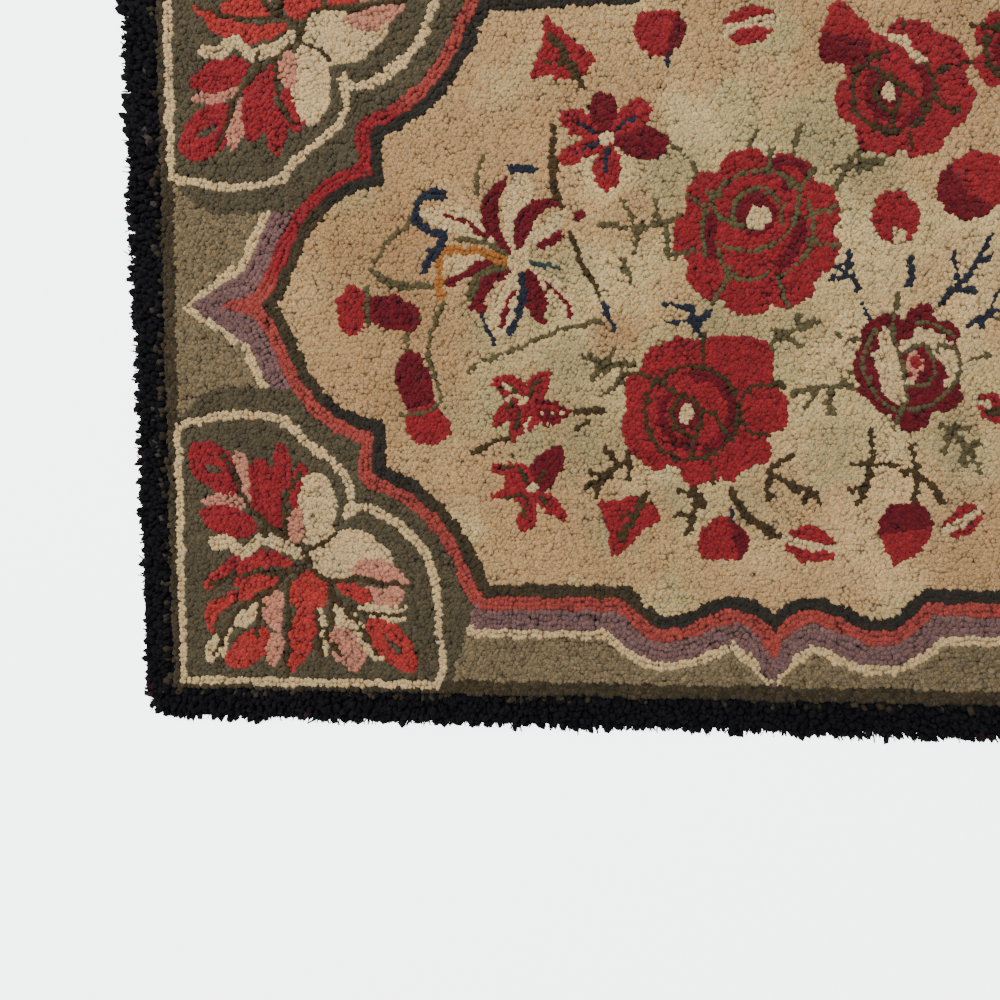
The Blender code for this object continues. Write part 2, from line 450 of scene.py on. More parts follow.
# yarn, across, up, width, height, turn
SPRAY_OVALS = [
    ("dark olive", -84, 76, 18, 8, -25),
    ("dark olive", 77, -81, 5, 24, 42),
    ("dark olive", -72, -52, 12, 7, 15),
]
print(sum(len(row) - 2 for row in SPRAY_BLADES), "leaves,", len(SPRAY_OVALS), "ovals in a spray")

# %% [markdown]
# The veins are the dark ground left between two leaves. They are drawn last, as lines that start
# at the joint and branch, so each leaf keeps a clean edge.

# %% Draw the leaf spray in each corner block
SPRAY_WAVE = [(-85, 9), (-70, 9), (-57, 1), (-42, 12), (-26, 9), (-6, -1)]
SPRAY_VEINS = [
    [(0, 0), (-34, 26), (-56, 46), (-65, 70), (-74, 88)],
    [(-19, 16), (-19, 42), (-14, 60), (-6, 70)],
    [(-36, 28), (-38, 14)],
    [(4, 4), (16, 10), (27, 18)],
    [(0, 0), (8, -18), (22, -24), (46, -23), (94, -29)],
    [(21, -25), (26, -42), (38, -54), (50, -70), (66, -94)],
    [(37, -48), (56, -54), (82, -54)],
    [(20, -30), (23, -56), (18, -74), (30, -92)],
    [(0, 0), (-4, -14), (-16, -18), (-56, -19), (-88, -28)],
    [(-16, -18), (-38, -37), (-60, -49), (-72, -66), (-86, -92)],
    [(-42, -42), (-48, -74)],
    [(-16, -18), (-18, -54), (-21, -108)],
    [(8, -56), (12, -96)],
]
VEIN_WIDTH, SPRAY_WAVE_WIDTH = 5.0, 12
SPRAY_BLUNT = 0.5


def leaf_spray():
    shapes = blades(SPRAY_BLADES, SPRAY_BLUNT)
    for row in SPRAY_OVALS:
        shapes += blob(*row)
    shapes += bars([("cream", SPRAY_WAVE_WIDTH, SPRAY_WAVE), ("vein", VEIN_WIDTH, *SPRAY_VEINS)])
    return moved(shapes, *SPRAY_JOINT)


all_quarters(leaf_spray(), BLOCK_RISE)
print(len(pins), "pinned loops with the leaf sprays")

# %% [markdown]
# A rose has a lobed edge, arcs where one petal lies over the next, and short lines between the
# outer petals. All are given as parts of the rose's own radius, so that one function draws a
# large rose or a small one.

# %% List the petals of the roses
# yarn, width in millimetres, and the rest in radii: across, up, radius, first and last angle
FULL_ROSE_ARCS = [
    ("crimson", 15, -0.02, 0.22, 0.14, 0, 360),
    ("crimson", 12, 0.05, 0.02, 0.44, -50, 22),
    ("crimson", 9, 0.20, 0.0, 0.76, 160, 200),
    ("crimson", 8, -0.11, 0.39, 0.49, 15, 60),
    ("crimson", 8, 0.30, 0.55, 0.30, 30, 120),
    ("stem", 5, -0.01, 0.22, 0.30, -20, 200),
    ("stem", 5, -0.10, 0.55, 0.48, 188, 290),
    ("stem", 5, -0.02, 0.16, 0.58, 25, 160),
    ("stem", 5, -0.11, 0.39, 0.60, -125, 0),
    ("stem", 5, 0.22, 0.0, 0.88, 163, 197),
    ("stem", 5, -0.09, -0.17, 0.38, 190, 310),
    ("stem", 5, 0.06, 0.05, 0.60, -70, 28),
]
OPEN_ROSE_ARCS = [
    ("crimson", 8, -0.17, -0.02, 0.49, -70, 85),
    ("crimson", 9, -0.16, -0.04, 0.37, 140, 275),
    ("crimson", 6, -0.23, -0.03, 0.16, 0, 360),
    ("vein", 5.5, -0.17, -0.02, 0.58, 0, 360),
    ("vein", 5, -0.13, -0.03, 0.28, 130, 275),
]
# A short line between two petals: its angle, and how far from the middle it starts, in radii
FULL_ROSE_SPOKES = [(82, 0.74), (48, 0.74), (18, 0.62), (-10, 0.62), (-66, 0.56), (-122, 0.58),
                    (-166, 0.66), (152, 0.72)]
OPEN_ROSE_EDGE = [(1.02, 0.0), (0.97, 0.2), (0.84, 0.3), (0.83, 0.55), (0.78, 0.79), (0.5, 0.93),
                  (0.04, 0.92), (-0.06, 0.86), (-0.36, 0.91), (-0.76, 0.72), (-0.82, 0.5),
                  (-0.99, 0.38), (-0.98, 0.1), (-1.04, -0.2), (-0.9, -0.52), (-0.58, -0.74),
                  (-0.36, -0.68), (-0.2, -0.92), (0.0, -0.9), (0.1, -0.84), (0.36, -0.88),
                  (0.52, -0.7), (0.78, -0.62), (0.81, -0.44), (0.74, -0.3), (0.95, -0.22)]
OPEN_ROSE_LINES = [
    [(-0.03, 0.56), (-0.04, 0.92)],
    [(-0.98, 0.47), (-0.76, 0.46), (-0.56, 0.36), (-0.27, 0.2), (0.0, 0.02), (0.18, -0.14),
     (0.3, -0.32)],
    [(0.45, 0.2), (0.62, 0.31), (0.92, 0.34)],
    [(0.42, -0.12), (0.58, -0.27), (0.76, -0.29)],
    [(0.08, -0.55), (0.1, -0.86)],
    [(-0.03, 0.0), (-0.08, -0.2), (-0.14, -0.33), (-0.14, -0.54)],
]
print(len(FULL_ROSE_ARCS), "arcs in a full rose,", len(OPEN_ROSE_ARCS), "in an open one")

# %% [markdown]
# Most of the roses have an even edge with a notch between each lobe and the next. One rose has
# its own uneven edge, rounded from the table.

# %% Make the roses
NOTCH_DEPTH = 0.16
SPOKE_END = 0.97
ROSE_LINE = 5
LOBE_POINTS = 9


def lobed_edge(lobes, turn):
    """A round edge of radius one with a notch between each lobe and the next."""
    angle = np.linspace(0, 2 * np.pi, lobes * LOBE_POINTS, endpoint=False)
    notch = (1 - np.abs(np.sin(lobes * (angle - math.radians(turn)) / 2))) ** 2
    return np.stack([np.cos(angle), np.sin(angle)], axis=1) * (1 - NOTCH_DEPTH * notch)[:, None]


def rose(x, y, radius, edge, arcs, lines, line_yarn, heart):
    """heart has the place and size of the cream middle, in radii as all the rest."""
    shapes = [("red", edge * radius, 0)]
    for yarn, width, across, up, reach, start, end in arcs:
        shapes += arc(yarn, width, across * radius, up * radius, reach * radius, start, end)
    shapes += bars([(line_yarn, ROSE_LINE, *(np.array(points) * radius for points in lines))])
    return moved(shapes + blob("cream", *(part * radius for part in heart)), x, y)


def open_rose(x, y, radius, edge, heart_height):
    return rose(x, y, radius, edge, OPEN_ROSE_ARCS, OPEN_ROSE_LINES, "vein",
                (-0.23, -0.03, 0.2, heart_height))


def full_rose(x, y, radius):
    spokes = [[heading(angle) * start, heading(angle) * SPOKE_END]
              for angle, start in FULL_ROSE_SPOKES]
    return rose(x, y, radius, lobed_edge(9, 2), FULL_ROSE_ARCS, spokes, "stem",
                (0.0, 0.17, 0.28, 0.28))


print("a full rose has", len(full_rose(0, 0, 70)), "shapes")

# %% [markdown]
# The tea rose and the small stars are less regular, so they are charted by their outlines, in
# millimetres from the flower's middle. Filled petals come first, and the lines between them lie
# over the petals. A very short line makes a single loop or two, such as a dot.

# %% Make the tea rose
TEA_EDGE = [(-7, 51), (-22, 51), (-37, 40), (-38, 26), (-44, 13), (-44, 1), (-40, -9), (-34, -21),
            (-23, -31), (-8, -40), (5, -53), (20, -46), (26, -34), (40, -33), (50, -24), (47, -12),
            (46, 24), (45, 39), (34, 45), (25, 50), (21, 58), (11, 58), (2, 54), (-1, 47)]
TEA_PETALS = [
    [(-21, 39), (-15, 39), (-9, 20), (-3, 9), (0, -7), (3, -18), (0, -29), (-9, -24), (-18, -17),
     (-23, 1), (-24, 12), (-28, 16), (-22, 24)],
    [(-4, 20), (8, 37), (17, 40), (33, 32), (43, 25), (44, 10), (44, -4), (40, -14), (35, -13),
     (36, 0), (32, 10), (24, 17), (15, 24), (3, 21)],
]
TEA_LINES = [
    [(-7, 69), (-9, 56), (-12, 46), (-11, 34), (-6, 21), (-1, 8), (1, -10), (4, -23), (-1, -31),
     (-7, -46)],
    [(-26, 37), (-32, 24), (-35, 12), (-34, -1), (-28, -12), (-20, -23), (-8, -33)],
    [(2, -31), (13, -32), (24, -28), (36, -19), (45, -8), (47, 9), (43, 20), (34, 24), (28, 22)],
    [(-3, 18), (6, 21), (17, 24), (22, 14), (26, 5), (24, -6), (15, -11), (6, -12)],
    [(12, 45), (21, 45), (31, 38), (42, 31)],
]
TEA_LINE = 4.6
TEA_SIZE = 0.95


def charted(x, y, fills, lines, size=1.0):
    """A flower from tables: filled outlines first, then the lines that lie over them."""
    shapes = [(yarn, rounded(points, closed=True), 0) for yarn, points in fills] + bars(lines)
    return moved([(yarn, points * size, width) for yarn, points, width in shapes], x, y)


def tea_rose(x, y):
    """A rose with a crimson edge and cream petals folded round a small pink heart."""
    fills = [("crimson", TEA_EDGE)] + [("cream", petal) for petal in TEA_PETALS]
    heart = blob("pink", 8, 6, 14, 25) + blob("cream", 5, -6, 9, 5) + blob("red", 9, 9, 10, 9)
    heart += blob("red", 6, -1, 5, 4)
    return charted(x, y, fills, [("stem", TEA_LINE, *TEA_LINES)], TEA_SIZE) + moved(heart, x, y)


print("the tea rose has", len(tea_rose(0, 0)), "shapes")

# %% [markdown]
# The lily is drawn as strokes from its middle, each petal with a spine and a width. Its stripes
# are single rows of crimson, navy and orange on cream. The tables are in millimetres from the
# flower's middle.

# %% Make the lily
LILY_BLADES = [
    ("cream", 30, [(0, 0), (1, 76)]),
    ("cream", 15, [(7, 12), (42, 42)]),
    ("cream", 24, [(-8, 10), (-45, 32), (-86, 42)]),
    ("cream", 22, [(-10, 0), (-40, -2), (-66, -4)]),
    ("cream", 24, [(0, -5), (-12, -36), (-22, -66)]),
    ("cream", 20, [(5, -5), (28, -24), (47, -49)]),
    ("crimson", 14, [(-10, 7), (-24, 30), (-25, 50), (-11, 72)]),
    ("crimson", 16, [(-1, 10), (4, 32), (14, 45), (33, 48)]),
    ("crimson", 9, [(45, 36), (58, 39)]),
    ("crimson", 10, [(13, 9), (38, 22)]),
    ("crimson", 18, [(-7, -8), (-28, -16), (-37, -31), (-31, -48)]),
    ("crimson", 19, [(6, -8), (13, -28), (21, -56)]),
]
LILY_BARS = [
    ("crimson", 5, [(-65, 40), (-48, 35), (-29, 21)]),
    ("crimson", 6, [(-24, 1), (-42, -8), (-61, -18)]),
    ("crimson", 4.5, [(-4, -26), (-11, -37), (-15, -55)], [(24, -17), (37, -33), (45, -47)]),
    ("stem", 5, [(-55, 19), (-30, 16), (-13, 6)]),
    ("stem", 6, [(-9, -5), (-27, -7), (-38, -15), (-43, -31)]),
    ("orange", 6.5, [(-11, -1), (-28, 6), (-50, 10), (-67, 10)], [(-67, 10), (-70, -8), (-69, -29)]),
    ("navy", 6, [(2, -10), (3, -34), (-1, -46), (-9, -62)]),
    ("navy", 4.5, [(-34, -47), (-21, -69)]),
    ("navy", 7, [(-8, 78), (13, 77)]),
    ("navy", 9, [(-66, 57), (-80, 58), (-89, 46), (-88, 34), (-72, 24)],
     [(-72, 24), (-66, 20), (-84, -7)]),
    ("teal", 5.5, [(9, -1), (32, -6)]),
]


def lily(x, y):
    return moved(blades(LILY_BLADES) + bars(LILY_BARS) + blob("cream", 0, 0, 20, 21), x, y)


print("the lily has", len(lily(0, 0)), "shapes")

# %% [markdown]
# The smaller flowers are simple: a star is a ring of blades round a cream dot, a bud is a blade
# with an oval at its end, and a heart is one rounded outline with its upper part in a darker
# yarn.

# %% Make the star, the buds, the striped leaf and the heart
PETAL_WIDEST = 0.62
PETAL_LINE = 4.2
STRIPE_SHARE, STRIPE_END = 0.27, 0.44
HEART_LEVEL, HEART_SLOPE = 2, 0.15


def star(x, y, petals, line_yarn):
    """petals has rows of angle, length, width and yarn."""
    shapes = []
    for angle, length, width, yarn in petals:
        shapes += moved(blade(yarn, width, [(0, 0), (length, 0)], widest=PETAL_WIDEST), turn=angle)
    for angle, length, width, yarn in petals:
        if yarn == "red":
            line = bar(line_yarn, PETAL_LINE, [(8, 0), (length * PETAL_WIDEST, 0)])
            shapes += moved(line, turn=angle)
    return moved(shapes + blob("cream", 0, 0, 13, 13), x, y)


def buds():
    """Two long buds, each in two reds with an olive band between them."""
    shapes = blob("red", -368, -9, 27, 43)
    shapes += blade("crimson", 29, [(-356, -6), (-334, -11), (-309, -20)], blunt=0.3)
    shapes += bar("stem", 5, [(-354, 12), (-354, -23)])
    shapes += blade("crimson", 31, [(-319, -44), (-314, -72), (-304, -102)], blunt=0.4)
    shapes += blob("red", -302, -109, 41, 35, -12)
    return shapes + bar("stem", 4.6, [(-325, -100), (-310, -99), (-288, -90)])


def striped_leaf(x, y, length, width, turn):
    shapes = blade("red", width, [(-length / 2, 0), (length / 2, 0)])
    end = length * STRIPE_END
    shapes += bar("cream", width * STRIPE_SHARE, [(-end, 1), (0, -1), (end, 1)])
    return moved(shapes, x, y, turn)


def heart(x, y):
    """A rounded heart with its point down; its upper part is in the darker yarn."""
    outline = rounded([(-20, 16), (-6, 25), (19, 22), (20, -6), (-5, -25), (-17, -8)], closed=True)
    dark = outline[outline[:, 1] > HEART_LEVEL + outline[:, 0] * HEART_SLOPE]
    return moved([("red", outline, 0), ("crimson", dark, 0)], x, y)


print("the two buds have", len(buds()), "shapes")

# %% [markdown]
# Twigs fill the space between the flowers, as they do on many old floral rugs. A twig is a short
# bent trunk with shoots to both sides. One function makes them all from the trunk's place,
# direction and length and a row for each shoot.

# %% Make the twigs
TWIG_LINE, TWIG_BEND = 5.8, 0.06


def twig(yarn, x, y, turn, length, shoots):
    trunk = heading(turn) * length
    bend = np.array([-trunk[1], trunk[0]]) * TWIG_BEND
    shapes = bar(yarn, TWIG_LINE, [(0, 0), trunk / 2 + bend, trunk])
    for share, direction, reach in shoots:
        start = trunk * share + bend * 4 * share * (1 - share)
        shapes += bar(yarn, TWIG_LINE, [start, start + heading(direction) * reach])
    return moved(shapes, x, y)


print("a twig with one shoot has", len(twig("stem", 0, 0, 0, 40, [(0.5, 60, 20)])), "lines")

# %% [markdown]
# The stems and twigs lie under the flowers. Their places are those of the real rug's visible
# part, in millimetres from the middle of the rug. Most are single rows of loops.

# %% List the stems and the twigs
# yarn, width, and the lines drawn with them
LEFT_STEMS = [
    ("stem", 5, [(-315, 68), (-342, 42), (-349, 25)]),
    ("stem", 7, [(-349, 25), (-334, 14), (-294, 10)]),
    ("stem", 4.6, [(-309, -16), (-318, -32), (-320, -48)],
     [(-287, -3), (-299, -32), (-299, -56), (-288, -86)],
     [(-266, -60), (-222, -42), (-186, -28), (-151, -21)], [(-253, 120), (-258, 102), (-256, 86)]),
    ("vein", 6, [(-192, 143), (-193, 112), (-190, 86), (-183, 74)]),
    ("vein", 5, [(-178, 56), (-168, 32), (-153, 2)]),
    ("navy", 5, [(-149, -3), (-144, -16), (-139, -28)]),
    ("vein", 5, [(-262, -134), (-246, -126), (-231, -120)]),
    ("vein", 6, [(-182, -99), (-164, -97), (-148, -98)]),
    ("vein", 4.6, [(-171, -115), (-160, -105)]),
]
STEMS = [
    ("stem", 4.6, [(-132, 31), (-126, 9)], [(-150, 61), (-136, 62)],
     [(-68, 99), (-80, 115), (-92, 126)], [(-28, 122), (-22, 138)], [(8, 118), (14, 141)],
     [(48, -34), (62, -37)], [(156, -54), (174, -52)], [(-145, -82), (-134, -72)]),
    ("navy", 7, [(104, 27), (107, 18), (104, 9)]),
    ("navy", 5, [(67, -10), (75, -20)], [(156, -26), (176, -15)]),
    ("vein", 6, [(-37, -166), (-26, -186), (-8, -199), (3, -205)]),
]
# yarn, x, y, direction and length of the trunk, and of each shoot: how far up the trunk it
# starts, its direction and its length
TWIGS = [
    ("vein", -123, -133, -142, 48, [(0.05, -93, 20), (0.3, 135, 17), (0.55, 177, 17), (0.85, -80, 9)]),
    ("vein", -70, -158, -95, 44, [(0.25, 165, 14), (0.65, 182, 12), (0.2, -62, 16)]),
    ("vein", -6, -173, 88, 27, [(0.95, 38, 20), (0.85, -31, 30)]),
    ("vein", 26, -166, -45, 14, [(0.0, -105, 9)]),
    ("vein", 77, -117, -96, 60, [(0.42, 180, 15), (0.42, -3, 21), (0.75, 196, 12)]),
    ("vein", 111, -127, -86, 50, [(0.42, -46, 20), (0.4, 205, 9)]),
    ("vein", 129, -161, -62, 15, []),
    ("stem", 135, -109, -50, 52, [(0.15, 8, 16), (0.18, -105, 16), (0.5, 6, 14), (0.6, -112, 12)]),
    ("stem", 13, -82, 4, 50, [(0.42, -122, 22), (0.62, -92, 22), (0.8, 60, 12)]),
    ("stem", -84, 65, 184, 66, [(0.25, 107, 20), (0.2, -82, 28), (0.58, 114, 24), (0.52, -103, 20)]),
    ("navy", -66, -33, 110, 24, [(0.5, 178, 24), (0.95, 165, 24), (0.25, 62, 17)]),
    ("navy", 41, 26, -42, 34, [(0.45, 82, 16), (0.5, 195, 13)]),
    ("navy", 170, 48, -124, 66, [(0.4, 30, 14), (0.72, 104, 25), (0.82, 6, 16)]),
    ("stem", -4, -40, 27, 40, [(0.0, -105, 14), (0.42, 178, 15), (0.6, 100, 9), (0.2, -25, 20)]),
    ("stem", 41, 85, 54, 48, [(0.4, 12, 34), (0.45, 172, 10), (0.7, -28, 16)]),
    ("stem", -123, -58, 170, 44, [(0.5, 66, 14), (0.45, 214, 18), (0.15, 248, 22)]),
]
print(sum(len(row) - 2 for row in LEFT_STEMS + STEMS), "stems and", len(TWIGS), "twigs")

# %% [markdown]
# Two small stars stand on the left. Each petal is its own outline, and most have a dark line up
# the middle. One star carries a row of cream dots on its long petal.

# %% List the petals of the stars
STAR_A_FILLS = [
    ("red", [(-28, 19), (-21, 23), (-9, 23), (-2, 19), (3, 13), (0, 3), (-8, 4), (-18, 8), (-25, 13)]),
    ("red", [(4, 0), (3, 13), (9, 22), (18, 27), (25, 25), (22, 13), (18, 4), (12, -2)]),
    ("red", [(-6, 2), (-15, -1), (-24, -9), (-25, -21), (-18, -21), (-10, -15), (-4, -6)]),
    ("red", [(0, -3), (9, -3), (17, -14), (8, -24), (0, -30), (-7, -36), (-10, -30), (-10, -18)]),
    ("crimson", [(10, -2), (18, 1), (28, -1), (40, -7), (42, -11), (34, -17), (24, -21), (16, -18)]),
]
STAR_A_LINES = [
    ("vein", 4.2, [(6, 4), (10, 13), (17, 19)], [(-7, 6), (-10, 12)], [(-8, -1), (-15, -9)],
     [(-4, -8), (-5, -24)]),
    ("red", 4.6, [(12, -4), (20, -3), (28, -5)]),
    ("cream", 4.4, [(-18, 16), (-11, 10)], [(16, -10), (18, -10)], [(24, -10), (28, -10)],
     [(34, -9), (36, -9)], [(6, -13), (3, -19), (3, -24)]),
    ("cream", 8, [(-2, 0), (2, 0)]),
]
STAR_B_FILLS = [
    ("red", [(-2, 17), (-8, 22), (-23, 22), (-37, 20), (-35, 14), (-28, 10), (-25, 3), (-31, -3),
             (-37, -8), (-34, -11), (-20, -10), (-7, -13), (0, 0)]),
    ("crimson", [(0, 4), (-1, 19), (4, 27), (14, 34), (24, 36), (28, 31), (26, 19), (22, 10),
                 (13, -2), (6, -2)]),
    ("red", [(-6, -8), (-15, -30), (-6, -39), (2, -30), (3, -6)]),
    ("red", [(2, -6), (12, -4), (24, -14), (29, -26), (16, -24), (6, -16)]),
]
STAR_B_LINES = [
    ("vein", 4.4, [(-28, 17), (-13, 17), (-8, 10), (-6, 3)]),
    ("vein", 4.2, [(-25, -7), (-8, -8)]),
    ("vein", 4.4, [(4, 6), (10, 13)]),
    ("vein", 4.2, [(-4, -10), (-7, -26)], [(6, -7), (16, -16)]),
    ("cream", 8, [(-2, 0), (3, 1)]),
]
# angle, length, width, yarn
STAR_C = [(152, 46, 22, "red"), (100, 40, 22, "crimson"), (-8, 52, 30, "crimson"),
          (203, 46, 18, "red"), (268, 44, 24, "red"), (40, 46, 24, "red")]


print(len(STAR_A_FILLS), "and", len(STAR_B_FILLS), "petals in the two small stars")

# %% [markdown]
# Now the field is filled in the order in which the pieces overlap: stems and twigs first, then
# the small flowers, and the roses last.

# %% Draw the flowers of the field
def left_flowers():
    shapes = bars(LEFT_STEMS) + charted(-218, -89, STAR_A_FILLS, STAR_A_LINES)
    shapes += charted(-209, -164, STAR_B_FILLS, STAR_B_LINES)
    return shapes + lily(-221, 32) + buds()


draw(left_flowers() + bars(STEMS))
for row in TWIGS:
    draw(twig(*row))
draw(star(-146, 133, STAR_C, "navy"))
draw(open_rose(97, 166, 56, lobed_edge(7, 10), 0.26))
draw(open_rose(-61, -98, 69, rounded(OPEN_ROSE_EDGE, closed=True, step=0.05), 0.29))
draw(full_rose(-20, 52, 70))
draw(tea_rose(103, -66))
print(len(pins), "pinned loops with the flowers")

# %% [markdown]
# Loose hearts, kite leaves and striped leaves lie in a row below the bouquet. They are common
# fillers on such rugs. Their yarns change across the shape, a bright one and a dark one. The far
# side, which the picture doesn't show, is finished with turned-over copies of what was drawn.

# %% Draw the loose leaves and the unseen side
DOME_HEIGHT, DOME_FLOOR, DOME_DARK = 0.56, 0.4, 0.08


def kite(x, y):
    shapes = filled("red", [(-28, 19), (14, 24), (28, 5), (6, -13), (-14, -30), (-18, -3)])
    shapes += bar("vein", 6, [(16, 27), (4, 6), (-8, -13)]) + bar("vein", 5, [(-12, 7), (9, 9)])
    return moved(shapes, x, y)


def dome_leaf(x, y, width, height):
    """A round leaf cut off flat below, bright on its left and dark on its right."""
    angle = np.radians(np.arange(-40, 221, 10))
    edge = np.stack([np.cos(angle) * width / 2, np.sin(angle) * height * DOME_HEIGHT], axis=1)
    edge[:, 1] = np.maximum(edge[:, 1], -height * DOME_FLOOR)
    dark = edge[edge[:, 0] > width * DOME_DARK]
    return moved([("red", edge, 0), ("crimson", dark, 0)], x, y)


def low_leaves():
    shapes = kite(-125, -195) + dome_leaf(-44, -211, 42, 40)
    shapes += bar("navy", 5, [(-38, -181), (-36, -190)]) + striped_leaf(30, -212, 48, 32, -12)
    return shapes + heart(107, -202) + striped_leaf(156, -190, 38, 24, 38)


draw(low_leaves())
draw(striped_leaf(182, -98, 50, 22, -24))
draw(blob("crimson", 150, 85, 50, 50) + blade("red", 36, [(137, 108), (160, 96), (178, 72)]))
draw(blob("red", 92, 63, 38, 44, 20) + blade("field", 11, [(101, 36), (93, 57)]))
draw(moved(left_flowers(), x=26, flip_x=True))
draw(moved(low_leaves(), x=-60, y=10, flip_y=True))
draw(open_rose(190, 196, 40, lobed_edge(6, 0), 0.26))
print(len(pins), "pinned loops in all")

# %% [markdown]
# Pins that a later shape has covered are dropped, and so is any pin that stands too close to an
# earlier one. Lines drawn last lie on top, so the pins are read from the last to the first.

# %% Sort the pins
def chart_at(x, y):
    column = np.clip((x + HALF_LENGTH).astype(int), 0, columns - 1)
    row = np.clip((y + HALF_WIDTH).astype(int), 0, rows - 1)
    return chart[row, column]


def standing_clear(points, apart):
    """The numbers of the points that stand clear of all that were kept before them."""
    taken, kept = {}, []
    for index, (x, y) in enumerate(points):
        cell = int(x // apart), int(y // apart)
        near = (taken.get((cell[0] + i, cell[1] + j), ()) for i in (-1, 0, 1) for j in (-1, 0, 1))
        if all(math.hypot(x - a, y - b) > apart for spots in near for a, b in spots):
            taken.setdefault(cell, []).append((x, y))
            kept.append(index)
    return kept


CROWDED = 0.72 * LOOP
EDGE_MARGIN = 2.0
limit = np.array([HALF_LENGTH - EDGE_MARGIN, HALF_WIDTH - EDGE_MARGIN])
pin_table = np.array(pins)
on_panel = (np.abs(pin_table[:, :2]) < limit).all(axis=1)
showing = chart_at(pin_table[:, 0], pin_table[:, 1]) == pin_table[:, 3]
pin_table = pin_table[on_panel & showing][::-1]
pin_table = pin_table[standing_clear(pin_table[:, :2], CROWDED)]
pinned = len(pin_table)
print(pinned, "pins kept")

# %% [markdown]
# Many things in a handmade rug drift: a row, a colour, the height of the pile. A sum of a few
# waves with chance directions and lengths gives such a drift, and the same seed always gives
# the same one.

# %% Make smooth uneven fields
WAVES, WAVE_PEAK = 7, 1.6
WAVE_SIZES = (0.7, 1.6)


def waves(x, y, size, seed):
    """A smooth uneven field from -1 to 1 with bumps of about that size."""
    rng = np.random.default_rng(seed)
    total = 0.0
    for _ in range(WAVES):
        angle, phase = rng.uniform(0, 2 * np.pi, 2)
        rate = 2 * np.pi / (size * rng.uniform(*WAVE_SIZES))
        total = total + np.sin(rate * (x * math.cos(angle) + y * math.sin(angle)) + phase)
    return np.clip(total / math.sqrt(WAVES), -WAVE_PEAK, WAVE_PEAK) / WAVE_PEAK


print("an uneven field at three places:", waves(np.array([0, 20, 40]), 0, 60, 1).round(2))

# %% [markdown]
# To find a loop's neighbours quickly, the panel is cut into cells as wide as the pitch, and only
# the nine cells round a loop are searched. A cell has room for four loops, and the odd fifth one
# is passed over.

# %% Find and push the neighbours
CELL_ROOM = 4
OPEN = 99.0


def neighbours(points, pitch):
    """For each point, one after another of the points in the nine cells round it, or -1."""
    cell = np.floor(points / pitch).astype(int)
    cell -= cell.min(axis=0) - 1
    width = cell[:, 0].max() + 2
    number = cell[:, 1] * width + cell[:, 0]
    order = np.argsort(number, kind="stable")
    first = np.searchsorted(number[order], number[order])
    place = np.empty(len(points), dtype=int)
    place[order] = np.arange(len(points)) - first
    shelf = np.full((number.max() + width + 2, CELL_ROOM), -1)
    fits = place < CELL_ROOM
    shelf[number[fits], place[fits]] = np.flatnonzero(fits)
    for step in (-width - 1, -width, -width + 1, -1, 0, 1, width - 1, width, width + 1):
        for slot in range(CELL_ROOM):
            yield shelf[number + step, slot]


def push(points, pitch):
    """How far each point is pushed by the points nearer than the pitch."""
    total = np.zeros_like(points)
    own = np.arange(len(points))
    for other in neighbours(points, pitch):
        gap = points - points[other]
        far = np.hypot(gap[:, 0], gap[:, 1])
        near = (other >= 0) & (other != own) & (far < pitch) & (far > 1e-6)
        total[near] += gap[near] * ((pitch - far[near]) / far[near])[:, None]
    return total


def room_at(spots, points, pitch):
    """How far each spot is from the nearest of the points, or OPEN where none is near."""
    both = np.vstack([points, spots])
    room = np.full(len(spots), OPEN)
    for other in neighbours(both, pitch):
        other = other[len(points):]
        gap = np.hypot(*(both[other] - spots).T)
        room = np.where((other >= 0) & (other < len(points)), np.minimum(room, gap), room)
    return room


print("loops 2 mm apart are pushed", push(np.array([[0.0, 0.0], [2.0, 0.0]]), 3.0)[:, 0], "mm")

# %% [markdown]
# The rest of the loops fill the ground. They start on a loose grid and then push each other
# apart, as wool does when it is packed into burlap. Pinned loops hardly move. After a few rounds
# the loops are evenly close without lying in straight lines.

# %% Pack the filling loops between the pins
FILL_PITCH = 3.4
FILL_SHAKE = 0.6
PIN_CLEARANCE = 0.78 * FILL_PITCH
PACK_REACH = FILL_PITCH * 1.04
FILL_GIVE, PIN_GIVE = 0.3, 0.1
PACK_ROUNDS = 14
shake = np.random.default_rng(7)

across, up = FILL_PITCH, FILL_PITCH * math.sqrt(3) / 2
grid = [((column + 0.5 * (row % 2)) * across, row * up)
        for row in range(int(2 * HALF_WIDTH / up))
        for column in range(int(2 * HALF_LENGTH / across))]
fill_points = np.array(grid) - limit
fill_points += shake.normal(0, FILL_SHAKE, fill_points.shape)
near_pin = room_at(fill_points, pin_table[:, :2], LOOP) < PIN_CLEARANCE


def pack(points, rounds):
    give = np.full((len(points), 1), FILL_GIVE)
    give[:pinned] = PIN_GIVE
    for _ in range(rounds):
        points += give * push(points, PACK_REACH)
        np.clip(points, -limit, limit, out=points)
    return points


loops = pack(np.vstack([pin_table[:, :2], fill_points[~near_pin]]), PACK_ROUNDS)
print(len(loops), "loops packed")

# %% [markdown]
# Where the loops have left a hole, the hooker pushes one more loop in. The panel is searched on
# a fine grid, the widest holes are filled first, and all the loops settle once more. Each loop
# takes the chart's yarn where it lies, and at last a slow wave bends all the rows a little.

# %% Fill the holes
HOLE_STEP, HOLE_REACH = 1.4, 2.65
HOLE_PITCH = FILL_PITCH * 0.8
WOBBLE, WOBBLE_SIZE = 1.5, 17.0


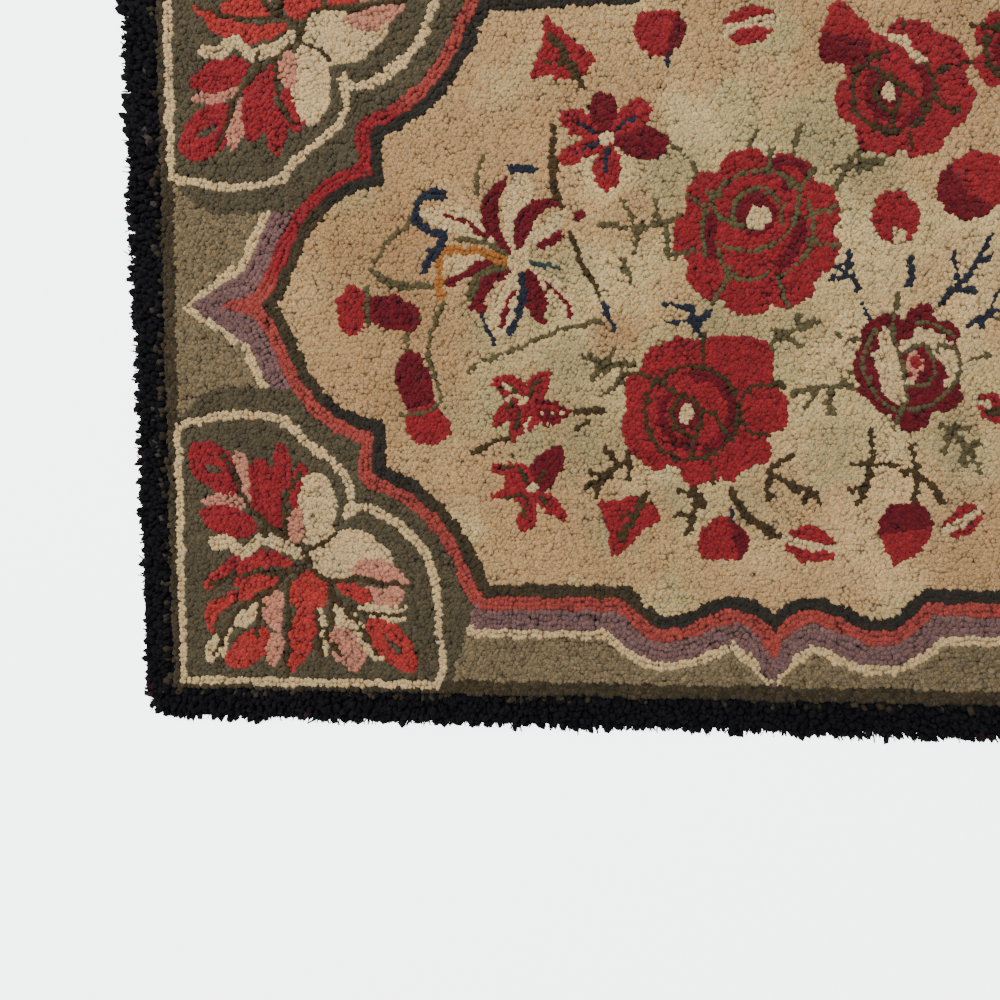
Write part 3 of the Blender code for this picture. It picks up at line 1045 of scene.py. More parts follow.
def fill_holes(points):
    """A loop for every hole that is wide enough to show the burlap."""
    spots = np.array([(x, y) for x in np.arange(-limit[0], limit[0], HOLE_STEP)
                      for y in np.arange(-limit[1], limit[1], HOLE_STEP)])
    room = room_at(spots, points, FILL_PITCH)
    holes = spots[np.argsort(-room)[:int((room > HOLE_REACH).sum())]]
    return np.vstack([points, holes[standing_clear(holes, HOLE_PITCH)]])


before = len(loops)
loops = pack(fill_holes(loops), PACK_ROUNDS // 2)
yarn_of_loop = chart_at(*loops.T)
for axis in (0, 1):
    loops[:, axis] += WOBBLE * waves(*loops.T, WOBBLE_SIZE, 61 + axis)
print(len(loops) - before, "loops added in holes,", len(loops), "in all")

# %% [markdown]
# The plain ground was hooked with what wool was left, so it changes from patch to patch between
# tan, straw and sage, paler near the bouquet. Chance deals out the tints, and a few places have
# a wool of their own.

# %% List the wools of the ground
# Ground tints as they look, and how often each is used near the bouquet and far from it
GROUND_TINTS = [
    ((176, 140, 96), 0.14, 0.60),
    ((186, 151, 104), 0.22, 0.28),
    ((194, 167, 116), 0.34, 0.06),
    ((176, 157, 108), 0.16, 0.04),
    ((206, 178, 126), 0.14, 0.02),
]
# Where other wools were used in the ground: the wool, and x, y and reach of each place
SPOT_WOOLS = [
    ((158, 141, 99), [(-158, -122, 34), (-205, -128, 24), (-245, -95, 20), (-178, -60, 30),
                      (-20, -178, 24), (55, -126, 24), (147, -132, 32), (125, -40, 22),
                      (60, 112, 40), (20, 130, 30), (-95, 118, 30), (-50, -20, 28), (20, -30, 24),
                      (-250, -30, 26), (-185, 20, 26), (-140, -205, 20), (-86, -170, 24),
                      (-290, -100, 24), (170, 20, 26)]),
    ((160, 123, 83), [(-372, 40, 45), (-318, 60, 40), (-312, -15, 34), (-316, -84, 32),
                      (-136, -32, 24)]),
    ((203, 170, 120), [(36, -52, 24), (8, -132, 22), (96, -168, 36), (62, -208, 34), (-8, -222, 28),
                       (98, -242, 28), (158, 24, 32), (152, -14, 26), (96, -10, 22)]),
]
print(len(GROUND_TINTS), "tints and", len(SPOT_WOOLS), "odd wools in the ground")

# %% [markdown]
# Blender mixes colours as light, so each colour is first changed from its screen value. Then
# every loop takes the colour of its yarn.

# %% Give each loop its yarn's colour
def linear(colour):
    """Blender's own colour values for a colour as it looks on a screen."""
    value = np.array(colour, dtype=float) / 255
    return np.where(value <= 0.04045, value / 12.92, ((value + 0.055) / 1.055) ** 2.4)


palette = linear(list(YARNS.values()))
loop_colour = palette[yarn_of_loop]
print("red wool is", palette[YARN_NUMBER["red"]].round(3), "as light")

# %% [markdown]
# In the ground, a patch has one tint, and neighbouring patches melt into each other a little.
# Waves bend the patches' edges, since no hooker stops at a straight line.

# %% Colour the ground
PATCH, PATCH_BLUR = 40.0, 17.0
PATCH_WOBBLE, PATCH_WOBBLE_SIZE = 9, 34
GROUND_X, GROUND_Y = 520, 340
BOUQUET_REACH = (210.0, 165.0)
BOUQUET_MIDDLE = (0.0, -5.0)
BLEND_START, BLEND_LENGTH = 0.8, 0.4
SPOT_SHARE = 0.9


def ground_colours(x, y):
    """The tint of the patch of ground that each loop is in."""
    rng = np.random.default_rng(21)
    spots = np.array([(i, j) for i in np.arange(-GROUND_X, GROUND_X + 1, PATCH)
                      for j in np.arange(-GROUND_Y, GROUND_Y + 1, PATCH)])
    spots = spots + rng.uniform(-PATCH / 2, PATCH / 2, spots.shape)
    far = np.hypot(*((spots - BOUQUET_MIDDLE) / BOUQUET_REACH).T)
    tints, close_odds, far_odds = zip(*GROUND_TINTS)
    tints, close_odds, far_odds = linear(tints), np.array(close_odds), np.array(far_odds)
    blend = np.clip((far - BLEND_START) / BLEND_LENGTH, 0, 1)[:, None]
    odds = np.cumsum(close_odds * (1 - blend) + far_odds * blend, axis=1)
    choice = (rng.uniform(0, 1, len(spots))[:, None] > odds / odds[:, -1:]).sum(axis=1)
    choice = np.minimum(choice, len(tints) - 1)
    wobble_x = x + PATCH_WOBBLE * waves(x, y, PATCH_WOBBLE_SIZE, 3)
    wobble_y = y + PATCH_WOBBLE * waves(x, y, PATCH_WOBBLE_SIZE, 4)
    far = (wobble_x[:, None] - spots[:, 0]) ** 2 + (wobble_y[:, None] - spots[:, 1]) ** 2
    weight = np.exp(-(far - far.min(axis=1, keepdims=True)) / PATCH_BLUR ** 2)
    colours = weight @ tints[choice] / weight.sum(axis=1, keepdims=True)
    for dye, places in SPOT_WOOLS:
        for spot_x, spot_y, reach in places:
            far = (wobble_x - spot_x) ** 2 + (wobble_y - spot_y) ** 2
            share = SPOT_SHARE * np.exp(-far / reach ** 2)
            colours += share[:, None] * (linear(dye) - colours)
    return colours


field_loops = yarn_of_loop == YARN_NUMBER["field"]
loop_colour[field_loops] = ground_colours(*loops[field_loops].T)
print(int(field_loops.sum()), "loops in the ground")

# %% [markdown]
# No two loops of hand-dyed wool are quite alike, so each is a little lighter or darker, and a
# little warmer or cooler, than its yarn. In a few places of the border a yarn ran out, and
# another dye lot took over.

# %% Dye the loops
# yarn, the other yarn, x, y, and how far it reaches
DYE_LOTS = [
    ("charcoal", "rim brown", -440, 0, 95),
    ("charcoal", "rim brown", -265, -215, 60),
    ("charcoal", "rim brown", -180, -251, 80),
    ("brick", "red", -385, 95, 95),
    ("scarlet", "red", -470, -190, 50),
]
LOT_WOBBLE, LOT_WOBBLE_SIZE, LOT_BLUR = 12, 30, 25
# How much the loops of one yarn differ, by yarn and for the others
SHADE_SPREAD = {"field": 0.07, "border": 0.14, "dark olive": 0.12, "rim brown": 0.22, "cream": 0.07}
OTHER_SPREAD = 0.10
PATCH_SHADE, PATCH_SHADE_SIZE = 0.07, 90
DARKEST, PALEST = 0.6, 1.5
WARMTH = 0.035

loop_x, loop_y = loops.T
lot_wobble = LOT_WOBBLE * waves(loop_x, loop_y, LOT_WOBBLE_SIZE, 17)
for yarn, other, spot_x, spot_y, reach in DYE_LOTS:
    far = np.hypot(loop_x - spot_x, loop_y - spot_y) + lot_wobble
    share = np.clip((reach - far) / LOT_BLUR + 0.5, 0, 1) * (yarn_of_loop == YARN_NUMBER[yarn])
    loop_colour += share[:, None] * (palette[YARN_NUMBER[other]] - loop_colour)
spread = np.array([SHADE_SPREAD.get(name, OTHER_SPREAD) for name in YARNS])[yarn_of_loop]
shade = 1 + spread * shake.normal(0, 1, len(loops))
shade *= 1 + PATCH_SHADE * waves(loop_x, loop_y, PATCH_SHADE_SIZE, 11)
loop_colour = loop_colour * np.clip(shade, DARKEST, PALEST)[:, None]
warmth = WARMTH * shake.normal(0, 1, len(loops))
loop_colour[:, 0] *= 1 + warmth
loop_colour[:, 2] *= 1 - warmth
print("dyed", len(loop_colour), "loops")

# %% [markdown]
# One loop is modelled by hand and then copied. It starts as a five-sided cone that stands on its
# tip, and its top face is poked to a middle point and lifted, which makes a small rounded
# cushion. Five sides are enough, because the loops stand so close that only their tops show.

# %% Model one loop of wool
LOOP_FOOT, LOOP_SHOULDER, LOOP_TOP = 1.4, 6.3, 7.9
LOOKS_UP = 0.9
NEAR_MIDDLE = 0.05


def select_faces(obj, test):
    """Selects the faces that the test accepts, and goes to edit mode."""
    bpy.ops.object.mode_set(mode="EDIT")
    bpy.ops.mesh.select_mode(type="FACE")
    bpy.ops.mesh.select_all(action="DESELECT")
    bpy.ops.object.mode_set(mode="OBJECT")
    for face in obj.data.polygons:
        face.select = test(face)
    bpy.ops.object.mode_set(mode="EDIT")


def model_loop():
    bpy.ops.object.select_all(action="DESELECT")
    height = LOOP_SHOULDER - LOOP_FOOT
    bpy.ops.mesh.primitive_cone_add(vertices=5, radius1=0, radius2=0.5, depth=height,
                                    location=(0, 0, LOOP_FOOT + height / 2))
    loop = bpy.context.object
    bpy.ops.object.transform_apply(location=True, rotation=False, scale=False)
    select_faces(loop, lambda face: face.normal.z > LOOKS_UP)
    bpy.ops.mesh.poke()
    bpy.ops.object.mode_set(mode="OBJECT")
    for vertex in loop.data.vertices:
        if vertex.co.xy.length < NEAR_MIDDLE and vertex.co.z > LOOP_FOOT + 1:
            vertex.co.z = LOOP_TOP
    return loop


def take_mesh(obj):
    """The corners and triangles of a model as arrays, and the model itself is cleared away."""
    corners = np.array([vertex.co[:] for vertex in obj.data.vertices])
    triangles = np.array([face.vertices[:] for face in obj.data.polygons])
    bpy.data.objects.remove(obj)
    return corners, triangles


loop_corners, loop_triangles = take_mesh(model_loop())
print("one loop has", len(loop_corners), "corners and", len(loop_triangles), "triangles")

# %% [markdown]
# Copying nearly seventy thousand objects would be slow, so the copies are made as arrays. Each
# copy is turned along its row, stretched across it, leaned a little and given its own height.

# %% Stretch, turn and lean copies of a small model
def flat_copies(corners, places, facing, along, across, tall, lean):
    """Copies of the corners: stretched, turned, leaned towards the top, and moved into place."""
    sizes = (along, across, tall)
    x, y, z = (corners[:, axis] * sizes[axis][:, None] for axis in range(3))
    cos, sin = np.cos(facing)[:, None], np.sin(facing)[:, None]
    rise = corners[:, 2] / corners[:, 2].max()
    return np.stack([places[:, 0:1] + x * cos - y * sin + lean[:, 0:1] * rise,
                     places[:, 1:2] + x * sin + y * cos + lean[:, 1:2] * rise, z], axis=2)


print("a loop's corners lean by", (loop_corners[:, 2] / LOOP_TOP).round(2), "of the whole lean")

# %% [markdown]
# The copies are joined into one mesh. A colour attribute carries the yarn, and a flat map from
# above gives each copy its own spot.

# %% Join copies into one piece
def join_copies(name, copies, triangles, colours, middles):
    """One mesh from all copies, with a colour for each copy."""
    count, size = copies.shape[:2]
    faces = (np.arange(count)[:, None, None] * size + triangles[None]).reshape(-1, 3)
    mesh = bpy.data.meshes.new(name)
    mesh.vertices.add(count * size)
    mesh.vertices.foreach_set("co", (copies.reshape(-1) * MM).astype(np.float32))
    mesh.loops.add(faces.size)
    mesh.loops.foreach_set("vertex_index", faces.reshape(-1).astype(np.int32))
    mesh.polygons.add(len(faces))
    mesh.polygons.foreach_set("loop_start", np.arange(0, faces.size, 3, dtype=np.int32))
    mesh.update(calc_edges=True)
    mesh.shade_smooth()
    colour = mesh.attributes.new("yarn_colour", "FLOAT_COLOR", "POINT")
    values = np.ones((count * size, 4), dtype=np.float32)
    values[:, :3] = np.repeat(colours, size, axis=0)
    colour.data.foreach_set("color", values.reshape(-1))
    flat_map(mesh, faces, copies.reshape(-1, 3), np.repeat(middles, size, axis=0))
    obj = bpy.data.objects.new(name, mesh)
    bpy.context.scene.collection.objects.link(obj)
    return obj


def flat_map(mesh, faces, corners, middles):
    """A map seen from above. Faces that look down shrink to their copy's middle."""
    low, high = corners[:, :2].min(axis=0), corners[:, :2].max(axis=0)
    points = corners[faces]
    normal_z = np.cross(points[:, 1] - points[:, 0], points[:, 2] - points[:, 0])[:, 2]
    spots = np.where((normal_z < 0)[:, None, None], middles[faces], points[:, :, :2])
    layer = mesh.uv_layers.new(name="OFBake")
    layer.data.foreach_set("uv", ((spots - low) / (high - low)).reshape(-1).astype(np.float32))


print("a copy brings", loop_corners.shape[0], "corners to its piece")

# %% [markdown]
# The rug is hooked one length at a time, as far as the frame holds the burlap, and each length
# is one piece here. Loops in a row face along it and are wider than long. In the open ground
# they turn this way and that.

# %% Hook the loops
LENGTHS = 5
FLOOR_GAP = 0.2
FACING_DRIFT, FACING_DRIFT_SIZE, FACING_SPREAD = 1.3, 150, 0.5
ROW_SPREAD = 0.12
LOOP_ALONG, LOOP_ACROSS = (1.75, 2.15), (1.85, 2.35)
SWELL, SWELL_SIZE, TALL_SPREAD = 0.06, 80, 0.04
LEAN, TILT = 0.42, 0.11
ROUGHNESS = (0.3, 0.3, 0.32)

loose = len(loops) - pinned
drift = waves(loop_x[pinned:], loop_y[pinned:], FACING_DRIFT_SIZE, 31)
turned = FACING_DRIFT * drift + shake.normal(0, FACING_SPREAD, loose)
facing = np.concatenate([pin_table[:, 2], turned]) + shake.normal(0, ROW_SPREAD, len(loops))
along = LOOP * shake.uniform(*LOOP_ALONG, len(loops))
across = LOOP * shake.uniform(*LOOP_ACROSS, len(loops))
swell = SWELL * waves(loop_x, loop_y, SWELL_SIZE, 41)
tall = 1 + swell + shake.normal(0, TALL_SPREAD, len(loops))
lean = shake.normal(0, LEAN, (len(loops), 2))
bounds_x = np.linspace(-HALF_LENGTH, HALF_LENGTH, LENGTHS + 1)

hooked = []
for length in range(LENGTHS):
    own = (loop_x >= bounds_x[length]) & (loop_x < bounds_x[length + 1])
    places = loops[own]
    copies = flat_copies(loop_corners, places, facing[own], along[own], across[own], tall[own],
                         lean[own])
    copies += shake.normal(0, 1, copies.shape) * ROUGHNESS
    slope = shake.normal(0, TILT, (len(copies), 1, 2))
    copies[:, :, 2] += (slope * (copies[:, :, :2] - places[:, None])).sum(axis=2)
    copies[:, :, 2] = np.maximum(copies[:, :, 2], FLOOR_GAP)
    hooked.append(join_copies(f"hooked_loops_{length + 1}", copies, loop_triangles,
                              loop_colour[own], places))
print("triangles", [len(piece.data.polygons) for piece in hooked])

# %% [markdown]
# Cloth is made the same way for the burlap and for the strips under the edging: a flat grid is
# added, shaped, given a thickness and coloured at its corners.

# %% Make sheets of cloth
def new_grid(name, x_parts, y_parts):
    """A flat grid one unit wide and long, at the origin."""
    bpy.ops.object.select_all(action="DESELECT")
    bpy.ops.mesh.primitive_grid_add(x_subdivisions=x_parts, y_subdivisions=y_parts, size=1,
                                    location=(0, 0, 0))
    grid = bpy.context.object
    grid.name = grid.data.name = name
    return grid


def thicken(sheet, thickness, offset):
    solid = sheet.modifiers.new("thickness", "SOLIDIFY")
    solid.thickness, solid.offset = thickness * MM, offset
    bpy.ops.object.modifier_apply(modifier="thickness")


def colour_corners(sheet, colours):
    values = np.ones((len(sheet.data.vertices), 4))
    values[:, :3] = colours
    attribute = sheet.data.attributes.new("yarn_colour", "FLOAT_COLOR", "POINT")
    attribute.data.foreach_set("color", values.reshape(-1))

# %% [markdown]
# Under the loops lies the burlap that holds them. From below, a hooked rug shows its drawing
# again in flat stitches, so the sheet carries the chart's colours on its underside. It is thin
# and closed, and dark on top, where it is only seen as the shadow between the loops.

# %% Lay the burlap
BURLAP_LEVEL, BURLAP_THICK = 0.4, 1.8
BURLAP_STITCH = 9.0
BURLAP_INSET = 0.1
LOOP_SHADOW = 0.45

burlap = new_grid("burlap_ground", int(2 * HALF_LENGTH / BURLAP_STITCH),
                  int(2 * HALF_WIDTH / BURLAP_STITCH))
burlap.scale = (2 * (HALF_LENGTH - BURLAP_INSET) * MM, 2 * (HALF_WIDTH - BURLAP_INSET) * MM, 1)
bpy.ops.object.transform_apply(location=False, rotation=False, scale=True)
for vertex in burlap.data.vertices:
    vertex.co.z = BURLAP_LEVEL * MM
thicken(burlap, BURLAP_THICK, 1.0)

corners = np.array([vertex.co[:] for vertex in burlap.data.vertices]) / MM
under = palette[chart_at(corners[:, 0], corners[:, 1])]
upper = corners[:, 2] > BURLAP_LEVEL + BURLAP_THICK / 2
under[upper] *= LOOP_SHADOW
colour_corners(burlap, under)
print("burlap", [round(v / MM, 1) for v in burlap.dimensions], "mm")

# %% [markdown]
# The edging is black wool left long and worn to shag: tufts that lean outwards, frayed fibres at
# the rim, and a few grey-brown ends where the dye has gone. One tuft is modelled, a four-sided
# finger that leans and narrows towards its tip, and it is copied by the thousand.

# %% Model one tuft of shag
TUFT_STUB = 0.3
TUFT_SHIFT, TUFT_RISE, TUFT_NARROWING = 0.2, 0.6, 0.74


def model_tuft():
    """A short stub whose top is extruded once, over to one side and narrower."""
    bpy.ops.object.select_all(action="DESELECT")
    bpy.ops.mesh.primitive_cylinder_add(vertices=4, radius=0.5, depth=TUFT_STUB,
                                        location=(0, 0, TUFT_STUB / 2))
    tuft = bpy.context.object
    bpy.ops.object.transform_apply(location=True, rotation=False, scale=False)
    select_faces(tuft, lambda face: face.normal.z > LOOKS_UP)
    move = {"value": (TUFT_SHIFT, 0, TUFT_RISE)}
    bpy.ops.mesh.extrude_region_move(TRANSFORM_OT_translate=move)
    bpy.ops.transform.resize(value=(TUFT_NARROWING, TUFT_NARROWING, 1))
    bpy.ops.object.mode_set(mode="OBJECT")
    select_faces(tuft, lambda face: True)
    bpy.ops.mesh.quads_convert_to_tris()
    bpy.ops.object.mode_set(mode="OBJECT")
    return tuft


tuft_corners, tuft_triangles = take_mesh(model_tuft())
print("one tuft has", len(tuft_triangles), "triangles")

# %% [markdown]
# The rug was cut by eye, so its outer edge drifts by a few millimetres and its corners are
# rounded. A place on the edging is known by how far it is from the panel and how far from the
# rim. The four strips meet at mitres, and each tuft belongs to the strip it stands on.

# %% Measure the edging
CORNER_ROUND = 22.0
RIM_INSET = 2
LEFT_SLOPE, FRONT_SLOPE = 0.013, 0.004
DRIFT, DRIFT_SIZE, LUMPS, LUMP_SIZE = 1.6, 60, 1.5, 17
STRETCH = 0.1
STRIPS = ["front", "right", "back", "left"]
outer_x = (cad_high[0] - cad_low[0]) / 2 / MM
outer_y = (cad_high[1] - cad_low[1]) / 2 / MM


def rim_gap(x, y):
    """How far a place is inside the rim, and the way from it to the rim."""
    flat_x, flat_y = x * STRETCH, y * STRETCH
    half_x = outer_x - RIM_INSET + np.where(x < 0, LEFT_SLOPE * y, 0)
    half_x = half_x + DRIFT * waves(flat_x, y, DRIFT_SIZE, 81) + LUMPS * waves(flat_x, y, LUMP_SIZE, 83)
    half_y = outer_y - RIM_INSET + np.where(y < 0, FRONT_SLOPE * x, 0)
    half_y = half_y + DRIFT * waves(x, flat_y, DRIFT_SIZE, 82) + LUMPS * waves(x, flat_y, LUMP_SIZE, 84)
    over = np.stack([np.abs(x) - half_x, np.abs(y) - half_y]) + CORNER_ROUND
    outside = np.maximum(over, 0)
    gap = CORNER_ROUND - np.hypot(*outside) - np.minimum(over.max(axis=0), 0)
    way = np.where(over.max(axis=0) > 0, outside, over == over.max(axis=0))
    return gap, np.arctan2(way[1] * np.sign(y), way[0] * np.sign(x))


def strip_of(x, y):
    """The number of the strip that a place is on, and how far it is past the panel."""
    past_x, past_y = np.abs(x) - HALF_LENGTH, np.abs(y) - HALF_WIDTH
    strip = np.where(past_x > past_y, np.where(x > 0, 1, 3), np.where(y > 0, 2, 0))
    return strip, np.maximum(past_x, past_y)


in_front = rim_gap(np.array([0.0]), np.array([10 - outer_y]))[0]
print("10 mm in from the front, the rim is", in_front.round(1), "mm away")

# %% [markdown]
# The shag is black, but not evenly so. Where the left edge is worn, grey-brown wool shows, a few
# tufts at the rim are maroon, and a stray olive end stands here and there beside the panel.

# %% Colour the shag
BLACK, MAROON, WORN_GREY, STRAY_OLIVE = (19, 18, 21), (38, 24, 28), (60, 54, 48), (56, 48, 36)
WORN_STRIP = STRIPS.index("left")
WORN_STRETCH, WORN_SIZE, WORN_ABOVE, WORN_START, WORN_END = 2.5, 30, 0.5, 4, 11
MAROON_SIZE, MAROON_ABOVE, MAROON_GAP = 34, 0.75, 7
OLIVE_END, OLIVE_SHARE = 4, 0.3
SHAG_SHADES = (0.65, 1.35)


def shag_colours(x, y, past, gap, strip, rng):
    dye = np.tile(linear(BLACK), (len(x), 1))
    worn = (strip == WORN_STRIP) & (waves(x * WORN_STRETCH, y, WORN_SIZE, 71) > WORN_ABOVE)
    dye[worn & (past > WORN_START) & (past < WORN_END)] = linear(WORN_GREY)
    dye[(waves(x, y, MAROON_SIZE, 72) > MAROON_ABOVE) & (gap < MAROON_GAP)] = linear(MAROON)
    dye[(past < OLIVE_END) & (rng.uniform(0, 1, len(x)) < OLIVE_SHARE)] = linear(STRAY_OLIVE)
    return dye * rng.uniform(*SHAG_SHADES, len(x))[:, None]


print("black wool is", linear(BLACK).round(4), "as light")

# %% [markdown]
# The tufts stand on a loose grid that covers the rug and a little more, and only those on the
# edging are kept.

# %% Lay out the tufts
GRID_REACH = 8
GRID_SHAKE = 0.2
PANEL_GAP = 0.8


def edging_grid(pitch, rng):
    reach_x, reach_y = outer_x + GRID_REACH, outer_y + GRID_REACH
    x, y = np.meshgrid(np.arange(-reach_x, reach_x, pitch),
                       np.arange(-reach_y, reach_y, pitch * math.sqrt(3) / 2))
    x = x + pitch / 2 * (np.arange(len(x)) % 2)[:, None]
    x = x.ravel() + rng.normal(0, pitch * GRID_SHAKE, x.size)
    y = y.ravel() + rng.normal(0, pitch * GRID_SHAKE, y.size)
    strip, past = strip_of(x, y)
    kept = past > PANEL_GAP
    return x[kept], y[kept], strip[kept], past[kept]


print(len(edging_grid(4.0, np.random.default_rng(1))[0]), "tufts 4 mm apart fill the edging")

# %% [markdown]
# Tufts about four millimetres apart are thick and short near the panel, and longer at the rim,
# where they hang over and rest on the floor. The frayed fibres at the rim are the same tuft made
# thin and set closer.

# %% Grow the shag
RIM_REACH = 9
TURN_SPREAD, RIM_CALM = 1.1, 0.3
LENGTH_ODDS, INNER_LENGTH = (1.2, 3.0), 0.6
RIM_DROOP = 0.4
FLATNESS = (0.7, 1.2)
TUFT_ROUGH = 0.06
# pitch, nearest and farthest inside the rim, girth, height, reach, seed
TUFTS = (4.1, 1.5, 99, (5.2, 8.2), (8.2, 10.4), (0.8, 4.2), 101)
FIBRES = (2.6, -0.3, 6.5, (0.9, 2.0), (2.5, 8.0), (0.8, 6.0), 102)


def shag(pitch, rim_from, rim_to, thick, tall, reach, seed):
    """Tufts or fibres on all four strips: copies, colours, middles and strip numbers."""
    rng = np.random.default_rng(seed)
    x, y, strip, past = edging_grid(pitch, rng)
    gap, outward = rim_gap(x, y)
    kept = (gap > rim_from) & (gap < rim_to)
    x, y, strip, past, gap, outward = (v[kept] for v in (x, y, strip, past, gap, outward))
    count = len(x)
    rim_share = np.clip(1 - gap / RIM_REACH, 0, 1)
    facing = outward + rng.normal(0, TURN_SPREAD, count) * (1 - RIM_CALM * rim_share)
    length = reach[0] + (reach[1] - reach[0]) * rng.beta(*LENGTH_ODDS, count)
    length *= INNER_LENGTH + rim_share
    lean = np.stack([np.cos(facing) * length, np.sin(facing) * length], axis=1)
    height = rng.uniform(*tall, count) * (1 - RIM_DROOP * rim_share ** 2)
    girth = rng.uniform(*thick, count)
    places = np.stack([x, y], axis=1)
    copies = flat_copies(tuft_corners, places, facing, girth, girth * rng.uniform(*FLATNESS, count),
                         height, lean)
    copies += rng.normal(0, TUFT_ROUGH, copies.shape) * girth[:, None, None]
    copies[:, :, 2] = np.maximum(copies[:, :, 2], FLOOR_GAP)
    return copies, shag_colours(x, y, past, gap, strip, rng), places, strip


grown = [shag(*TUFTS), shag(*FIBRES)]
copies, colours, middles, strips = (np.concatenate(part) for part in zip(*grown))
edging = {}
for number, name in enumerate(STRIPS):
    own = strips == number
    edging[name] = join_copies(f"edging_{name}", copies[own], tuft_triangles, colours[own],
                               middles[own])
print("edging triangles", [len(piece.data.polygons) for piece in edging.values()])

# %% [markdown]
# A low strip of black cloth carries the tufts on each side. It is a plane pulled out to the
# mitres at its outer corners and given a thickness, and from above only its shadow shows.

# %% Lay the strips under the shag
STRIP_LEVEL, STRIP_THICK, STRIP_GAP = 0.4, 4.0, 0.1
STRIP_PARTS, STRIP_ROWS = 40, 3
STRIP_SHORT = 5.0
CORNER_CUT, CORNER_SHARE = 0.38, 0.05


def strip_base(name, sideways, sign):
    """One strip. sideways is true for left and right, and sign is -1 for left and front."""
    start, run = (HALF_LENGTH, HALF_WIDTH) if sideways else (HALF_WIDTH, HALF_LENGTH)
    width = (outer_x if sideways else outer_y) - STRIP_SHORT - start
    base = new_grid(f"edging_strip_{name}", STRIP_PARTS, STRIP_ROWS)
    for vertex in base.data.vertices:
        past = max(0, abs(2 * vertex.co.x) - (1 - CORNER_SHARE)) / CORNER_SHARE
        off = (vertex.co.y + 0.5) * width * (1 - CORNER_CUT * past) + STRIP_GAP
        along = 2 * vertex.co.x * (run + off - STRIP_GAP) * sign
        outward = sign * (start + off)
        x, y = (outward, along) if sideways else (-along, outward)
        vertex.co = (x * MM, y * MM, STRIP_LEVEL * MM)
    thicken(base, STRIP_THICK, -1.0)
    colour_corners(base, linear(BLACK))
    return base


strip_bases = {"front": strip_base("front", False, -1), "right": strip_base("right", True, 1),
               "back": strip_base("back", False, 1), "left": strip_base("left", True, -1)}
print("strips", [[round(v / MM) for v in base.dimensions] for base in strip_bases.values()], "mm")

# %% [markdown]
# A material is a tree of nodes, and making a node is the same few steps each time: its kind, its
# own values, and the outputs that feed it. Two helpers do that for all of them.

# %% Make nodes
def set_sockets(tree, node, values, sources):
    for socket, value in values.items():
        node.inputs[socket].default_value = value
    for socket, source in sources.items():
        tree.links.new(source, node.inputs[socket])


def add_node(tree, kind, values, sources, operation=None):
    """A new node with its own values, fed by the outputs of earlier nodes."""
    node = tree.nodes.new("ShaderNode" + kind)
    if operation:
        node.operation = operation
    set_sockets(tree, node, values, sources)
    return node

# %% [markdown]
# Wool is dull and soft. The material reads the yarn's colour from the attribute, breaks it up
# with fine noise for the fibres, and darkens it towards the foot of the loop, where light
# doesn't reach. A little sheen gives the pale fuzz at grazing angles.

# %% Make the wool
WOOL_LOOK = {"Roughness": 0.95, "Sheen Roughness": 0.5, "Specular IOR Level": 0.12}
FIBRE_DETAIL, FLECK_LOW, FLECK_HIGH = 3.0, 0.3, 0.7
PATCH_SCALE = 260.0
FUZZ_DEPTH = 0.4 * MM


def wool(name, fibre, fleck, low, high, dark, crack, sheen, bump):
    """fibre and fleck are the fineness and strength of the noise. Painted shade darkens the wool
    below the height low, and the wool has its full colour above high, in millimetres; crack
    makes these heights uneven."""
    material = bpy.data.materials.new(name)
    material.use_nodes = True
    tree = material.node_tree
    place = add_node(tree, "TexCoord", {}, {}).outputs["Object"]
    yarn = add_node(tree, "Attribute", {}, {})
    yarn.attribute_name = "yarn_colour"
    fibres = add_node(tree, "TexNoise", {"Scale": fibre, "Detail": FIBRE_DETAIL}, {"Vector": place})
    flecks = add_node(tree, "MapRange", {"From Min": FLECK_LOW, "From Max": FLECK_HIGH,
                                         "To Min": 1 - fleck, "To Max": 1 + fleck},
                      {"Value": fibres.outputs["Fac"]})
    height = add_node(tree, "SeparateXYZ", {}, {"Vector": place})
    patches = add_node(tree, "TexNoise", {"Scale": PATCH_SCALE}, {"Vector": place})
    uneven = add_node(tree, "Math", {1: crack * MM},
                      {0: patches.outputs["Fac"], 2: height.outputs["Z"]}, "MULTIPLY_ADD")
    depth = add_node(tree, "MapRange", {"From Min": (low + crack / 2) * MM,
                                        "From Max": (high + crack / 2) * MM,
                                        "To Min": dark, "To Max": 1.0},
                     {"Value": uneven.outputs["Value"]})
    both = add_node(tree, "Math", {}, {0: flecks.outputs["Result"], 1: depth.outputs["Result"]},
                    "MULTIPLY")
    colour = add_node(tree, "VectorMath", {},
                      {0: yarn.outputs["Color"], "Scale": both.outputs["Value"]}, "SCALE")
    fuzz = add_node(tree, "Bump", {"Strength": bump, "Distance": FUZZ_DEPTH},
                    {"Height": fibres.outputs["Fac"]})
    set_sockets(tree, tree.nodes["Principled BSDF"], {**WOOL_LOOK, "Sheen Weight": sheen},
                {"Base Color": colour.outputs["Vector"], "Normal": fuzz.outputs["Normal"]})
    return material


# low, high and dark set the height and strength of the painted shade at the foot of the pile
loop_wool = wool("loop_wool", fibre=1000, fleck=0.42, low=5.8, high=6.9, dark=0.26, crack=2.9,
                 sheen=0.08, bump=0.8)
shag_wool = wool("shag_wool", fibre=1300, fleck=0.3, low=2.0, high=9.0, dark=0.6, crack=0.0,
                 sheen=0.0, bump=0.6)
burlap_wool = wool("burlap_wool", fibre=400, fleck=0.3, low=-1.0, high=0.3, dark=0.9, crack=0.0,
                   sheen=0.1, bump=0.8)
for piece in hooked:
    piece.data.materials.append(loop_wool)
for piece in list(edging.values()) + list(strip_bases.values()):
    piece.data.materials.append(shag_wool)
burlap.data.materials.append(burlap_wool)
print("materials", [m.name for m in (loop_wool, shag_wool, burlap_wool)])
